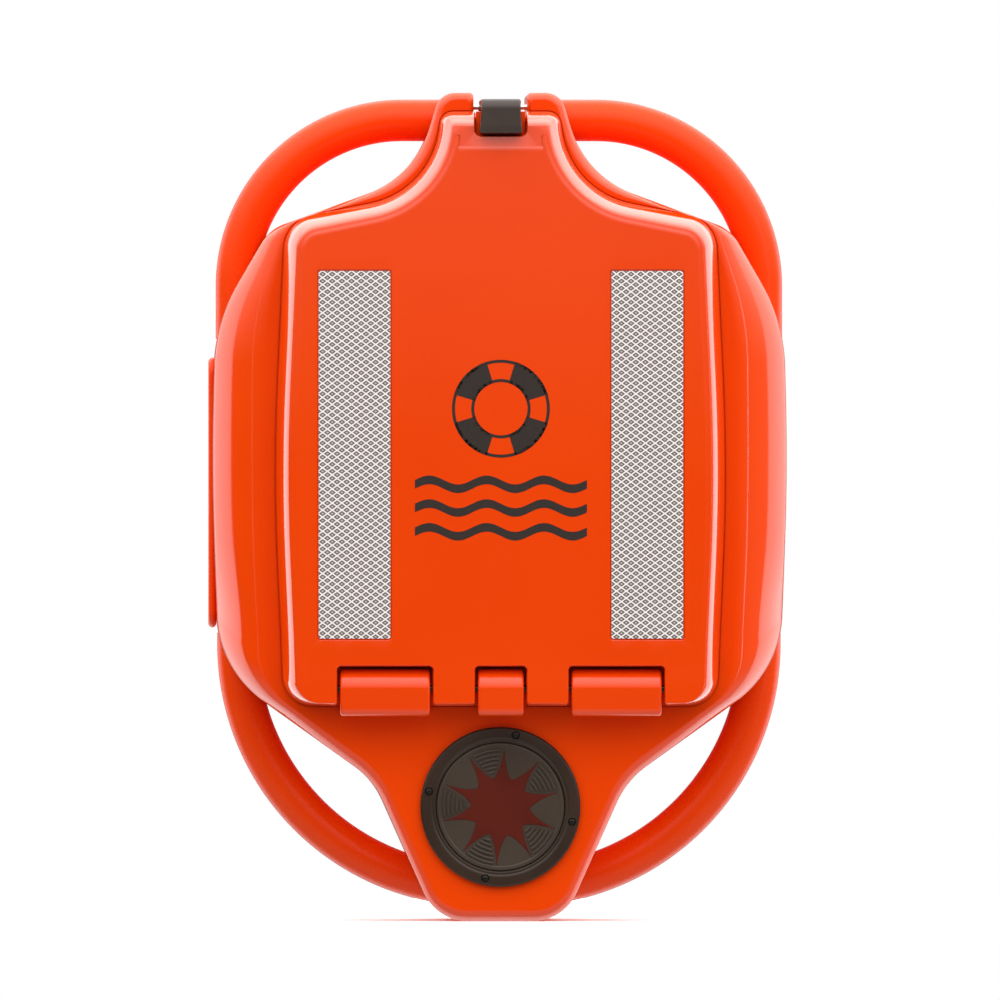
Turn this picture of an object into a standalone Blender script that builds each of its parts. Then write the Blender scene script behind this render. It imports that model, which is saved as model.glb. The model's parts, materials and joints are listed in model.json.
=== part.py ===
"""Grab container for an emergency position beacon, with the beacon stowed inside.

Metres, +Z up. The front faces -Y and the flat back lies in the plane Y = 0.
The origin is the centre of the back face.
"""

from math import atan2, cos, hypot, pi, radians, sin

import bmesh
import bpy
from mathutils import Matrix, Vector

# ---------------------------------------------------------------- driving dimensions

GAP = 0.0003              # clearance between pieces that touch
WALL = 0.004              # shell wall
LID_WALL = 0.0035

Y_BACK = 0.0              # flat back of the rear shell
Y_PARTING = -0.075        # plane where the two shells meet
Y_DECK = -0.150           # flat front of the front shell
Y_LID_FRONT = -0.178
Y_LID_RIM = -0.1508
Y_HANDLES = -0.075

EDGE_SHAPE = 1.5          # depth of a rounded front edge, over its width
BACK_EDGE_SHAPE = 1.0
FACE_INSET = 0.0015       # flat of the inner face, set in from the flat of the outer face
RIM_WALL = 0.009          # straight wall left beside the parting plane
BACK_EDGE = 0.008         # how far the back face is set in from the silhouette
PORT_SCREW_HOLE = 0.0016

SIDE_PAD_HALF_DEPTH = 0.017
SIDE_PAD_Z = (-0.082, 0.101)
SIDE_PAD_X = (-0.1970, -0.1860)
SIDE_PAD_CORNER = 0.012
SIDE_PAD_FIT = 0.0004

FOAM_X = (0.136, 0.176)
FOAM_Y = (-0.128, -0.020)
FOAM_Z = (-0.068, 0.110)
FOAM_EDGE = 0.006

# Half outlines, from the top centre down to the bottom centre.
# Each corner is (x, z, fillet radius, steps along the fillet).
BODY_OUTLINE = [
    (0.0000, 0.2650, 0.0, 0),
    (0.0181, 0.2650, 0.0020, 2),
    (0.0181, 0.2795, 0.0030, 2),
    (0.0405, 0.2795, 0.0135, 4),
    (0.0580, 0.2228, 0.0680, 5),
    (0.1560, 0.1872, 0.0300, 4),
    (0.1925, 0.1250, 0.1200, 4),
    (0.1948, 0.0280, 1.5000, 2),
    (0.1905, -0.1100, 0.0750, 6),
    (0.0855, -0.1850, 0.0600, 4),
    (0.0432, -0.2800, 0.0320, 5),
    (0.0000, -0.2800, 0.0, 0),
]
DECK_OUTLINE = [
    (0.0000, 0.2620, 0.0, 0),
    (0.0211, 0.2620, 0.0020, 2),
    (0.0211, 0.2745, 0.0025, 2),
    (0.0365, 0.2745, 0.0095, 4),
    (0.0525, 0.2180, 0.0630, 5),
    (0.1425, 0.1918, 0.0160, 4),
    (0.1575, 0.1500, 0.0600, 4),
    (0.1580, 0.0280, 1.4000, 2),
    (0.1560, -0.1240, 0.0350, 6),
    (0.0792, -0.1790, 0.0660, 4),
    (0.0378, -0.2720, 0.0230, 5),
    (0.0000, -0.2720, 0.0, 0),
]
LID_OUTLINE = [
    (0.0000, 0.2667, 0.0, 0),
    (0.0395, 0.2667, 0.0090, 4),
    (0.0480, 0.2128, 0.0580, 5),
    (0.1453, 0.1930, 0.0240, 5),
    (0.1530, 0.0250, 1.4000, 2),
    (0.1460, -0.1345, 0.0200, 4),
    (0.0000, -0.1345, 0.0, 0),
]
LID_EDGE = 0.010          # rounding of the lid's front edge
LID_RIM_WALL = 0.002
LINING_Y = (-0.1599, -0.1569)
LINING_BOTTOM = (0.1473, -0.1010, 0.006, 3)       # lower corner of the lining
GASKET_Y = (-0.1566, -0.1531)
GASKET_OFFSET = (0.0100, 0.0040)                  # outer and inner edge, outside the tub's opening

TUB_HALF_WIDTH = 0.128
TUB_TOP = 0.180
TUB_BOTTOM = -0.092
TUB_CORNER = 0.018
TUB_WALL = 0.003
TUB_FLANGE = 0.009
TUB_FLANGE_HEIGHT = 0.0025
TUB_FLOOR_Y = -0.038

HANDLE_RADIUS = 0.0135
HANDLE_FIT = 0.00035
TOP_HANDLE_CENTRE = (0.0657, 0.1495)
TOP_HANDLE_SWEEP = 0.1115
TOP_HANDLE_INNER_X = 0.0260
TOP_HANDLE_END_Z = 0.1135
BOTTOM_HANDLE_CENTRE = (0.0135, -0.0935)
BOTTOM_HANDLE_SWEEP = 0.1624
BOTTOM_HANDLE_END_Z = -0.0855
BOTTOM_HANDLE_END_ANGLE = radians(-81)
HANDLE_STEPS = 13

HINGE_Y = -0.164
HINGE_Z = -0.123
HINGE_PIN_RADIUS = 0.0025
HINGE_PIN_HALF_LENGTH = 0.128
HINGE_BARREL = 0.0134     # round part of a body knuckle
HINGE_FOOT_Z = -0.1415
HINGE_FOOT_ROUND = 0.0055
SIDE_KNUCKLE = (0.0477, 0.1085)
CENTRE_KNUCKLE = 0.0155
KNUCKLE_GAP = 0.0017
LID_BARREL = 0.0075
LID_KNUCKLE_END = 0.1240
LID_OPEN_CUT_Y = -0.157   # the lid's lower edge stops here, to swing past the deck

LATCH_PIN_Y = -0.137
LATCH_PIN_Z = 0.2698
LATCH_PIN_RADIUS = 0.00175
LATCH_PIN_HALF_LENGTH = 0.0255
LATCH_BOSS = 0.0043
LATCH_HALF_WIDTH = 0.01425
LATCH_BOTTOM = 0.2517
SPRING_TURNS = 3.75
SPRING_PITCH = 0.00115
SPRING_RADIUS = 0.0030
SPRING_WIRE = 0.0005
SPRING_START_X = 0.0094
NOTCH_HALF_WIDTH = 0.017
NOTCH_BOTTOM = 0.2504
NOTCH_BACK_Y = -0.1635

STRIP_CENTRE = (0.09875, 0.03485)
STRIP_SIZE = (0.0502, 0.2498)
STRIP_CORNER = 0.0022
STRIP_DEPTH = 0.0010
STRIP_THICKNESS = 0.0006

PORT_Z = -0.2028
PORT_RING_RADIUS = 0.0540
PORT_BORE_RADIUS = 0.0436
PORT_HOLE_RADIUS = 0.0470
PORT_NECK_RADIUS = 0.0466
PORT_NECK_DEPTH = 0.024
PORT_NECK_BORE = 0.0385
PORT_RING_FRONT = 0.0042  # heights forwards from the deck
PORT_RING_BACK = 0.00105
PORT_SEAL_SEAT = -0.0015
PORT_CAP_FRONT = 0.0036
PORT_CAP_RADIUS = 0.0433
PORT_SCREW_CIRCLE = 0.0494
PORT_SCREW_ANGLE = radians(-12)
STAR_TIPS = 10
STAR_OUTER = 0.0400
STAR_INNER = 0.0195
STAR_TURN = radians(-4)

BEACON_Y = -0.096
BEACON_RADIUS = 0.044
BEACON_BOTTOM = -0.080
BEACON_SPLIT = 0.040
BEACON_WALL = 0.0025
DOME_RADIUS = 0.034
DOME_SPRING = 0.112       # height where the dome's curve begins
DOME_RISE = 0.028
DOME_WALL = 0.002
BOARD_RADIUS = 0.0370
BOARD_THICKNESS = 0.0016
BOARD_Z = 0.0848          # middle of the board
BOARD_LEG_CIRCLE = 0.020
BOARD_LEG_RADIUS = 0.003
BOARD_LEG_LENGTH = 0.0544
BUTTON_Z = 0.078
SWITCH_Z = (0.052, 0.061)
SWITCH_HALF_WIDTH = 0.006
CRADLE_FRONT_Y = -0.088

COLLECTION = "beacon_grab_container"


# ---------------------------------------------------------------- scene and materials

def clear_scene():
    """Remove every object that is already in the file."""
    for obj in list(bpy.data.objects):
        bpy.data.objects.remove(obj, do_unlink=True)


def make_collection(name):
    """Return a new collection linked to the scene."""
    group = bpy.data.collections.new(name)
    bpy.context.scene.collection.children.link(group)
    return group


def make_material(name, colour, roughness, metallic=0.0):
    """Return a Principled material."""
    material = bpy.data.materials.new(name)
    material.use_nodes = True
    shader = material.node_tree.nodes["Principled BSDF"]
    shader.inputs["Base Color"].default_value = (*colour, 1.0)
    shader.inputs["Roughness"].default_value = roughness
    shader.inputs["Metallic"].default_value = metallic
    return material


def make_materials():
    """Return the object's materials by name."""
    return {
        "orange": make_material("orange_plastic", (0.90, 0.075, 0.005), 0.22),
        "black": make_material("black_plastic", (0.02, 0.02, 0.02), 0.35),
        "grey": make_material("grey_plastic", (0.055, 0.048, 0.042), 0.45),
        "dark_red": make_material("dark_red_plastic", (0.12, 0.008, 0.004), 0.35),
        "rubber": make_material("seal_rubber", (0.03, 0.03, 0.03), 0.7),
        "steel": make_material("stainless_steel", (0.55, 0.55, 0.55), 0.3, 1.0),
        "tape": make_material("reflective_tape", (0.75, 0.75, 0.76), 0.3),
        "foam": make_material("foam", (0.10, 0.10, 0.11), 0.95),
        "buoyancy": make_material("buoyancy_foam", (0.80, 0.76, 0.60), 0.9),
        "yellow": make_material("yellow_plastic", (0.85, 0.55, 0.02), 0.3),
        "clear": make_material("clear_plastic", (0.85, 0.88, 0.90), 0.08),
        "board": make_material("circuit_board", (0.02, 0.16, 0.05), 0.5),
        "cell": make_material("battery_wrap", (0.05, 0.10, 0.30), 0.4),
        "red": make_material("red_plastic", (0.60, 0.02, 0.02), 0.35),
    }


def link(obj, group, material):
    """Put an object in one collection and give it one material."""
    for other in list(obj.users_collection):
        other.objects.unlink(obj)
    group.objects.link(obj)
    obj.data.materials.clear()
    obj.data.materials.append(material)


def shade(obj):
    """Shade a round piece smooth, and keep its edges sharp."""
    obj.data.shade_smooth()
    obj.data.set_sharp_from_angle(angle=radians(35))


# ---------------------------------------------------------------- outlines

def unit(x, z):
    """Return a direction of length one."""
    length = hypot(x, z)
    return x / length, z / length


def inset(corners, distance):
    """Move every edge of a half outline inwards, keeping its fillet centres."""
    points = [(x, z) for x, z, _, _ in corners]
    moved = []
    for index, (x, z, radius, steps) in enumerate(corners):
        if index == 0:
            moved.append((0.0, z - distance, radius, steps))
            continue
        if index == len(corners) - 1:
            moved.append((0.0, z + distance, radius, steps))
            continue
        ax, az = unit(x - points[index - 1][0], z - points[index - 1][1])
        bx, bz = unit(points[index + 1][0] - x, points[index + 1][1] - z)
        turn = ax * bz - az * bx
        inward = ((az + bz), -(ax + bx))
        scale = distance / (1.0 + ax * bx + az * bz)
        new_radius = radius - distance if turn < 0 else radius + distance
        moved.append((x + inward[0] * scale, z + inward[1] * scale, max(new_radius, 0.0005), steps))
    return moved


def fillet(before, corner, after):
    """Return the points along one filleted corner."""
    x, z, radius, steps = corner
    ax, az = unit(x - before[0], z - before[1])
    bx, bz = unit(after[0] - x, after[1] - z)
    turn = atan2(ax * bz - az * bx, ax * bx + az * bz)
    reach = radius * abs(sin(turn / 2) / cos(turn / 2))
    side = 1.0 if turn > 0 else -1.0
    start_x, start_z = x - ax * reach, z - az * reach
    centre_x, centre_z = start_x - az * radius * side, start_z + ax * radius * side
    points = []
    for step in range(steps + 1):
        angle = turn * step / steps
        dx, dz = start_x - centre_x, start_z - centre_z
        points.append((centre_x + dx * cos(angle) - dz * sin(angle),
                       centre_z + dx * sin(angle) + dz * cos(angle)))
    return points


def outline(corners):
    """Return the closed outline of a half outline and its mirror image."""
    half = [corners[0][:2]]
    for before, corner, after in zip(corners, corners[1:], corners[2:]):
        half += fillet(before, corner, after)
    half.append(corners[-1][:2])
    return half + [(-x, z) for x, z in reversed(half[1:-1])]


def rounded_rectangle(half_width, bottom, top, radius, steps=4):
    """Return a half outline of a rectangle with round corners."""
    return [(0.0, top, 0.0, 0), (half_width, top, radius, steps),
            (half_width, bottom, radius, steps), (0.0, bottom, 0.0, 0)]


# ---------------------------------------------------------------- mesh builders

def new_object(name, bm, group, material):
    """Turn a bmesh into an object whose faces point outwards."""
    bmesh.ops.recalc_face_normals(bm, faces=bm.faces)
    mesh = bpy.data.meshes.new(name)
    bm.to_mesh(mesh)
    bm.free()
    obj = bpy.data.objects.new(name, mesh)
    link(obj, group, material)
    return obj


def loft(name, rings, group, material, ring_shaped=False):
    """Join matched rings of points, and close both ends or join the last ring to the first."""
    bm = bmesh.new()
    loops = [[bm.verts.new(point) for point in ring] for ring in rings]
    count = len(rings[0])
    pairs = list(zip(loops, loops[1:]))
    if ring_shaped:
        pairs.append((loops[-1], loops[0]))
    for lower, upper in pairs:
        for index in range(count):
            after = (index + 1) % count
            bm.faces.new((lower[index], lower[after], upper[after], upper[index]))
    if not ring_shaped:
        bm.faces.new(loops[0])
        bm.faces.new(list(reversed(loops[-1])))
    obj = new_object(name, bm, group, material)
    shade(obj)
    return obj


def level(points, y):
    """Return an outline as a ring of points in one plane Y."""
    return [Vector((x, y, z)) for x, z in points]


def dome_rings(face, rim, y_face, y_rim, steps, edge_shape, rim_wall):
    """Return rings from a flat face, round its edge and along a straight wall to a rim."""
    side = 1.0 if y_rim > y_face else -1.0
    deepest = abs(y_rim - y_face) - rim_wall
    rings = []
    for step in range(steps + 1):
        angle = pi / 2 * step / steps
        ring = []
        for (fx, fz), (rx, rz) in zip(face, rim):
            depth = min(hypot(rx - fx, rz - fz) * edge_shape, deepest)
            y = y_face + side * depth * (1 - cos(angle))
            ring.append(Vector((fx + (rx - fx) * sin(angle), y, fz + (rz - fz) * sin(angle))))
        rings.append(ring)
    rings.append(level(rim, y_rim))
    return rings


def box(name, low, high, group, material, bevel=0.0):
    """Return a box between two corners."""
    centre = [(a + b) / 2 for a, b in zip(low, high)]
    size = [b - a for a, b in zip(low, high)]
    bm = bmesh.new()
    bmesh.ops.create_cube(bm, size=1.0)
    bmesh.ops.scale(bm, vec=size, verts=bm.verts)
    obj = new_object(name, bm, group, material)
    obj.location = centre
    if bevel:
        add_bevel(obj, bevel)
    return obj


def rod(name, centre, axis, radius, length, group, material, sides=24):
    """Return a cylinder along X, Y or Z."""
    bm = bmesh.new()
    bmesh.ops.create_cone(bm, cap_ends=True, segments=sides, radius1=radius, radius2=radius, depth=length)
    obj = new_object(name, bm, group, material)
    obj.rotation_euler = {"X": (0, pi / 2, 0), "Y": (pi / 2, 0, 0), "Z": (0, 0, 0)}[axis]
    obj.location = centre
    shade(obj)
    return obj


def turned(name, profile, centre, axis, group, material, closed=False, steps=32):
    """Return a turned piece. Its profile (radius, height) runs down the outer side."""
    mesh = bpy.data.meshes.new(name)
    edges = [(index, index + 1) for index in range(len(profile) - 1)]
    if closed:
        edges.append((len(profile) - 1, 0))
    mesh.from_pydata([(radius, 0.0, height) for radius, height in profile], edges, [])
    obj = bpy.data.objects.new(name, mesh)
    link(obj, group, material)
    screw = obj.modifiers.new("turn", "SCREW")
    screw.axis = "Z"
    screw.steps = steps
    screw.render_steps = steps
    screw.use_merge_vertices = True
    screw.merge_threshold = 0.00001
    if axis == "front":
        obj.rotation_euler = (pi / 2, 0, 0)
    obj.location = centre
    return obj


def plate(name, points, y_front, y_back, group, material):
    """Return a flat piece with an outline in X and Z, between two planes Y."""
    curve = bpy.data.curves.new(name, "CURVE")
    curve.dimensions = "2D"
    curve.fill_mode = "BOTH"
    curve.extrude = abs(y_back - y_front) / 2
    spline = curve.splines.new("POLY")
    spline.points.add(len(points) - 1)
    for point, (x, z) in zip(spline.points, points):
        point.co = (x, z, 0.0, 1.0)
    spline.use_cyclic_u = True
    guide = bpy.data.objects.new(name + "_curve", curve)
    guide.rotation_euler = (pi / 2, 0, 0)
    guide.location = (0, (y_front + y_back) / 2, 0)
    return curve_to_mesh(guide, name, group, material)


def side_plate(name, points, x_low, x_high, group, material):
    """Return a flat piece with an outline in Y and Z, between two planes X."""
    bm = bmesh.new()
    ends = [[bm.verts.new((x, y, z)) for y, z in points] for x in (x_low, x_high)]
    bm.faces.new(ends[0])
    bm.faces.new(list(reversed(ends[1])))
    count = len(points)
    for index in range(count):
        after = (index + 1) % count
        bm.faces.new((ends[0][index], ends[0][after], ends[1][after], ends[1][index]))
    return new_object(name, bm, group, material)


def curve_to_mesh(guide, name, group, material):
    """Replace a curve object by a welded mesh object in the same place."""
    bpy.context.scene.collection.objects.link(guide)
    bpy.context.view_layer.update()
    graph = bpy.context.evaluated_depsgraph_get()
    mesh = bpy.data.meshes.new_from_object(guide.evaluated_get(graph))
    mesh.name = name
    bm = bmesh.new()
    bm.from_mesh(mesh)
    bmesh.ops.remove_doubles(bm, verts=bm.verts, dist=0.000001)
    bmesh.ops.recalc_face_normals(bm, faces=bm.faces)
    bm.to_mesh(mesh)
    bm.free()
    obj = bpy.data.objects.new(name, mesh)
    obj.matrix_world = guide.matrix_world.copy()
    bpy.data.objects.remove(guide, do_unlink=True)
    link(obj, group, material)
    return obj


def tube(name, path, radius, group, material, resolution=4):
    """Return a round tube along a list of points."""
    curve = bpy.data.curves.new(name, "CURVE")
    curve.dimensions = "3D"
    curve.bevel_depth = radius
    curve.bevel_resolution = resolution
    curve.use_fill_caps = True
    spline = curve.splines.new("POLY")
    spline.points.add(len(path) - 1)
    for point, place in zip(spline.points, path):
        point.co = (*place, 1.0)
    obj = curve_to_mesh(bpy.data.objects.new(name + "_curve", curve), name, group, material)
    shade(obj)
    return obj


def add_bevel(obj, width, segments=2, angle=35):
    """Round the sharp edges of an object."""
    bevel = obj.modifiers.new("round", "BEVEL")
    bevel.width = width
    bevel.segments = segments
    bevel.limit_method = "ANGLE"
    bevel.angle_limit = radians(angle)


def boolean(obj, other, operation):
    """Add a Boolean with a hidden second object."""
    other.hide_render = True
    other.display_type = "WIRE"
    modifier = obj.modifiers.new(other.name, "BOOLEAN")
    modifier.operation = operation
    modifier.solver = "EXACT"
    modifier.object = other


def cut(obj, *cutters):
    """Cut one object with closed cutters."""
    for cutter in cutters:
        boolean(obj, cutter, "DIFFERENCE")


def arc(centre, radius, start, end, steps):
    """Return points on an arc in a plane, angles measured from its first axis."""
    points = []
    for step in range(steps + 1):
        angle = start + (end - start) * step / steps
        points.append((centre[0] + radius * cos(angle), centre[1] + radius * sin(angle)))
    return points


def hang(name, place, pieces, group):
    """Parent pieces to an empty on their joint's axis, without moving them."""
    empty = bpy.data.objects.new(name, None)
    empty.location = place
    group.objects.link(empty)
    for piece in pieces:
        piece.parent = empty
        piece.matrix_parent_inverse = Matrix.Translation(-Vector(place))


# ---------------------------------------------------------------- shells

def front_rings(grow=0.0):
    """Return the outer rings of the front shell, from its deck to the parting plane."""
    face = outline(inset(DECK_OUTLINE, -grow))
    rim = outline(inset(BODY_OUTLINE, -grow))
    return dome_rings(face, rim, Y_DECK - grow, Y_PARTING - GAP / 2, 5, EDGE_SHAPE, RIM_WALL)


def back_rings(grow=0.0):
    """Return the outer rings of the rear shell, from its back to the parting plane."""
    face = outline(inset(BODY_OUTLINE, BACK_EDGE - grow))
    rim = outline(inset(BODY_OUTLINE, -grow))
    return dome_rings(face, rim, Y_BACK + grow, Y_PARTING + GAP / 2, 3, BACK_EDGE_SHAPE, RIM_WALL)


def handle_paths():
    """Return the centre line of each handle by name, right side first."""
    top = [(TOP_HANDLE_INNER_X, TOP_HANDLE_CENTRE[1] + TOP_HANDLE_SWEEP)]
    top += arc(TOP_HANDLE_CENTRE, TOP_HANDLE_SWEEP, pi / 2, 0.0, HANDLE_STEPS)
    top.append((TOP_HANDLE_CENTRE[0] + TOP_HANDLE_SWEEP, TOP_HANDLE_END_Z))
    side_x = BOTTOM_HANDLE_CENTRE[0] + BOTTOM_HANDLE_SWEEP
    bottom = [(side_x, BOTTOM_HANDLE_END_Z)]
    bottom += arc(BOTTOM_HANDLE_CENTRE, BOTTOM_HANDLE_SWEEP, 0.0, BOTTOM_HANDLE_END_ANGLE, HANDLE_STEPS)
    paths = {}
    for end, line in (("top", top), ("bottom", bottom)):
        for side, sign in (("right", 1.0), ("left", -1.0)):
            paths[f"handle_{end}_{side}"] = [(sign * x, Y_HANDLES, z) for x, z in line]
    return paths


def port_screw_places():
    """Return the centres of the port ring's screws in X and Z."""
    places = []
    for index in range(4):
        angle = pi / 2 + PORT_SCREW_ANGLE - index * pi / 2
        places.append((PORT_SCREW_CIRCLE * cos(angle), PORT_Z + PORT_SCREW_CIRCLE * sin(angle)))
    return places


def build_shells(parts, cutters, materials):
    """Build the front and rear shells."""
    inner_deck = outline(inset(DECK_OUTLINE, FACE_INSET))
    inner_rim = outline(inset(BODY_OUTLINE, WALL))
    inside = dome_rings(inner_deck, inner_rim, Y_DECK + WALL, Y_PARTING - GAP / 2, 4, EDGE_SHAPE, RIM_WALL)
    front = loft("front_shell", front_rings() + inside[::-1], parts, materials["orange"])
    inner_back = outline(inset(BODY_OUTLINE, BACK_EDGE + FACE_INSET))
    inside = dome_rings(inner_back, inner_rim, Y_BACK - WALL, Y_PARTING + GAP / 2, 3, BACK_EDGE_SHAPE,
                        RIM_WALL)
    rear = loft("rear_shell", back_rings() + inside[::-1], parts, materials["orange"])

    tub_hole = inset(tub_outline(), -TUB_WALL - 2 * GAP)
    cut(front, loft("tub_hole", [level(outline(tub_hole), y) for y in (-0.160, -0.130)],
                    cutters, materials["foam"]))
    cut(front, rod("port_hole", (0, Y_DECK, PORT_Z), "Y", PORT_HOLE_RADIUS, 0.030, cutters,
                   materials["foam"], 64))
    cut(front, rod("latch_pin_bore", (0, LATCH_PIN_Y, LATCH_PIN_Z), "X", LATCH_PIN_RADIUS + GAP,
                   2 * LATCH_PIN_HALF_LENGTH + 0.004, cutters, materials["foam"], 20))
    for index, (x, z) in enumerate(port_screw_places()):
        cut(front, rod(f"port_screw_bore_{index + 1}", (x, Y_DECK, z), "Y", PORT_SCREW_HOLE, 0.020,
                       cutters, materials["foam"], 12))
    for name, path in handle_paths().items():
        fit = tube(name + "_fit", path, HANDLE_RADIUS + HANDLE_FIT, cutters, materials["foam"])
        cut(front, fit)
        cut(rear, fit)


def build_handles(parts, materials):
    """Build the four grab handles, clamped between the shells."""
    for name, path in handle_paths().items():
        tube(name, path, HANDLE_RADIUS, parts, materials["orange"])


def build_side_pad(parts, cutters, materials):
    """Build the flat-faced pad on the left side of the body."""
    corners = rounded_rectangle(SIDE_PAD_HALF_DEPTH, *SIDE_PAD_Z, SIDE_PAD_CORNER, 3)
    points = [(y + Y_PARTING, z) for y, z in outline(corners)]
    pad = side_plate("side_pad", points, *SIDE_PAD_X, parts, materials["orange"])
    rings = front_rings(SIDE_PAD_FIT) + back_rings(SIDE_PAD_FIT)[::-1]
    cut(pad, loft("side_pad_fit", rings, cutters, materials["foam"]))


def build_buoyancy(parts, materials):
    """Build the two foam blocks between the tub and the shell sides."""
    for side, sign in (("left", -1.0), ("right", 1.0)):
        edges = sorted((sign * FOAM_X[0], sign * FOAM_X[1]))
        box(f"buoyancy_foam_{side}", (edges[0], FOAM_Y[0], FOAM_Z[0]), (edges[1], FOAM_Y[1], FOAM_Z[1]),
            parts, materials["buoyancy"], FOAM_EDGE)


# ---------------------------------------------------------------- storage tub

def tub_outline():
    """Return the inside outline of the storage tub."""
    return rounded_rectangle(TUB_HALF_WIDTH, TUB_BOTTOM, TUB_TOP, TUB_CORNER)


def build_tub(parts, materials):
    """Build the storage tub with its flange on the deck."""
    inner = outline(tub_outline())
    outer = outline(inset(tub_outline(), -TUB_WALL))
    flange = outline(inset(tub_outline(), -TUB_WALL - TUB_FLANGE))
    under = Y_DECK - GAP
    front = under - TUB_FLANGE_HEIGHT
    rings = [level(inner, TUB_FLOOR_Y - TUB_WALL), level(inner, front), level(flange, front),
             level(flange, under), level(outer, under), level(outer, TUB_FLOOR_Y)]
    loft("storage_tub", rings, parts, materials["orange"])


# ---------------------------------------------------------------- lid

def build_lid(parts, cutters, materials):
    """Build the lid with its lining, gasket, knuckles, latch pocket and strips."""
    lid = [build_lid_skin(parts, cutters, materials)]
    lid.append(build_lid_lining(parts, materials))
    lid.append(build_lid_gasket(parts, materials))
    lid.append(build_latch_pocket(parts, cutters, materials))
    lid += build_lid_knuckles(parts, cutters, materials)
    lid += build_strips(parts, materials)
    return lid


def build_lid_skin(parts, cutters, materials):
    """Build the lid's outer skin, notched for the latch and the body knuckles."""
    face = outline(inset(LID_OUTLINE, LID_EDGE))
    rim = outline(LID_OUTLINE)
    outside = dome_rings(face, rim, Y_LID_FRONT, Y_LID_RIM, 4, 1.0, LID_RIM_WALL)
    inner_face = outline(inset(LID_OUTLINE, LID_EDGE + 0.0005))
    inner_rim = outline(inset(LID_OUTLINE, LID_WALL))
    inside = dome_rings(inner_face, inner_rim, Y_LID_FRONT + LID_WALL, Y_LID_RIM, 3, 1.0, LID_RIM_WALL)
    skin = loft("lid_skin", outside + inside[::-1], parts, materials["orange"])
    pocket_z = HINGE_Z + HINGE_BARREL + KNUCKLE_GAP
    spans = [("centre", -CENTRE_KNUCKLE - KNUCKLE_GAP, CENTRE_KNUCKLE + KNUCKLE_GAP)]
    spans.append(("right", SIDE_KNUCKLE[0] - KNUCKLE_GAP, SIDE_KNUCKLE[1] + KNUCKLE_GAP))
    spans.append(("left", -SIDE_KNUCKLE[1] - KNUCKLE_GAP, -SIDE_KNUCKLE[0] + KNUCKLE_GAP))
    for name, low, high in spans:
        cut(skin, box(f"knuckle_notch_{name}", (low, -0.190, -0.150), (high, -0.140, pocket_z),
                      cutters, materials["foam"]))
    cut(skin, box("swing_clearance", (-0.170, LID_OPEN_CUT_Y, -0.150), (0.170, -0.140, -0.118),
                  cutters, materials["foam"]))
    cut(skin, box("latch_notch", (-NOTCH_HALF_WIDTH, -0.190, NOTCH_BOTTOM),
                  (NOTCH_HALF_WIDTH, NOTCH_BACK_Y, 0.280), cutters, materials["foam"]))
    for side, sign in (("left", -1.0), ("right", 1.0)):
        ring = strip_outline(sign, 0.0)
        cut(skin, loft(f"strip_recess_{side}",
                       [level(ring, y) for y in (-0.185, Y_LID_FRONT + STRIP_DEPTH)],
                       cutters, materials["foam"]))
    return skin


def build_lid_lining(parts, materials):
    """Build the flat panel that closes the back of the lid."""
    corners = LID_OUTLINE[:-2] + [LINING_BOTTOM, (0.0, LINING_BOTTOM[1], 0.0, 0)]
    points = outline(inset(corners, LID_WALL + 0.0005))
    return plate("lid_lining", points, *LINING_Y, parts, materials["orange"])


def build_lid_gasket(parts, materials):
    """Build the gasket that closes on the tub's flange."""
    outer, inner = (outline(inset(tub_outline(), -offset)) for offset in GASKET_OFFSET)
    front, back = GASKET_Y
    rings = [level(outer, front), level(outer, back), level(inner, back), level(inner, front)]
    return loft("lid_gasket", rings, parts, materials["rubber"], ring_shaped=True)


def build_latch_pocket(parts, cutters, materials):
    """Build the pocket behind the lid's notch that the latch closes into."""
    points = [(-0.1742, 0.2466), (-0.1742, 0.2550), (-0.1680, 0.2629), (-0.1602, 0.2629),
              (-0.1602, 0.2466)]
    pocket = side_plate("latch_pocket", points, -0.0205, 0.0205, parts, materials["orange"])
    cut(pocket, box("latch_pocket_recess", (-NOTCH_HALF_WIDTH, -0.180, NOTCH_BOTTOM),
                    (NOTCH_HALF_WIDTH, NOTCH_BACK_Y, 0.280), cutters, materials["foam"]))
    return pocket


def build_lid_knuckles(parts, cutters, materials):
    """Build the four lid knuckles that turn on the hinge pin."""
    low = HINGE_Z - 0.0074
    points = [(-0.1680, low), (-0.1742, -0.1225), (-0.1742, -0.1050), (-0.1602, -0.1050)]
    points += arc((HINGE_Y, HINGE_Z), LID_BARREL, radians(60), -pi / 2, 8)
    inner = (CENTRE_KNUCKLE + KNUCKLE_GAP + GAP, SIDE_KNUCKLE[0] - KNUCKLE_GAP - GAP)
    outer = (SIDE_KNUCKLE[1] + KNUCKLE_GAP + GAP, LID_KNUCKLE_END)
    knuckles = []
    for span_name, span in (("inner", inner), ("outer", outer)):
        for side, sign in (("left", -1.0), ("right", 1.0)):
            edges = sorted((sign * span[0], sign * span[1]))
            knuckle = side_plate(f"lid_knuckle_{span_name}_{side}", points, *edges, parts,
                                 materials["orange"])
            cut(knuckle, hinge_bore(f"lid_bore_{span_name}_{side}", edges, cutters, materials))
            knuckles.append(knuckle)
    return knuckles


def hinge_bore(name, edges, cutters, materials):
    """Return a cutter for the hinge pin's bore, longer than the piece it cuts."""
    centre = ((edges[0] + edges[1]) / 2, HINGE_Y, HINGE_Z)
    length = edges[1] - edges[0] + 0.004
    return rod(name, centre, "X", HINGE_PIN_RADIUS + GAP, length, cutters, materials["foam"], 20)


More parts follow.
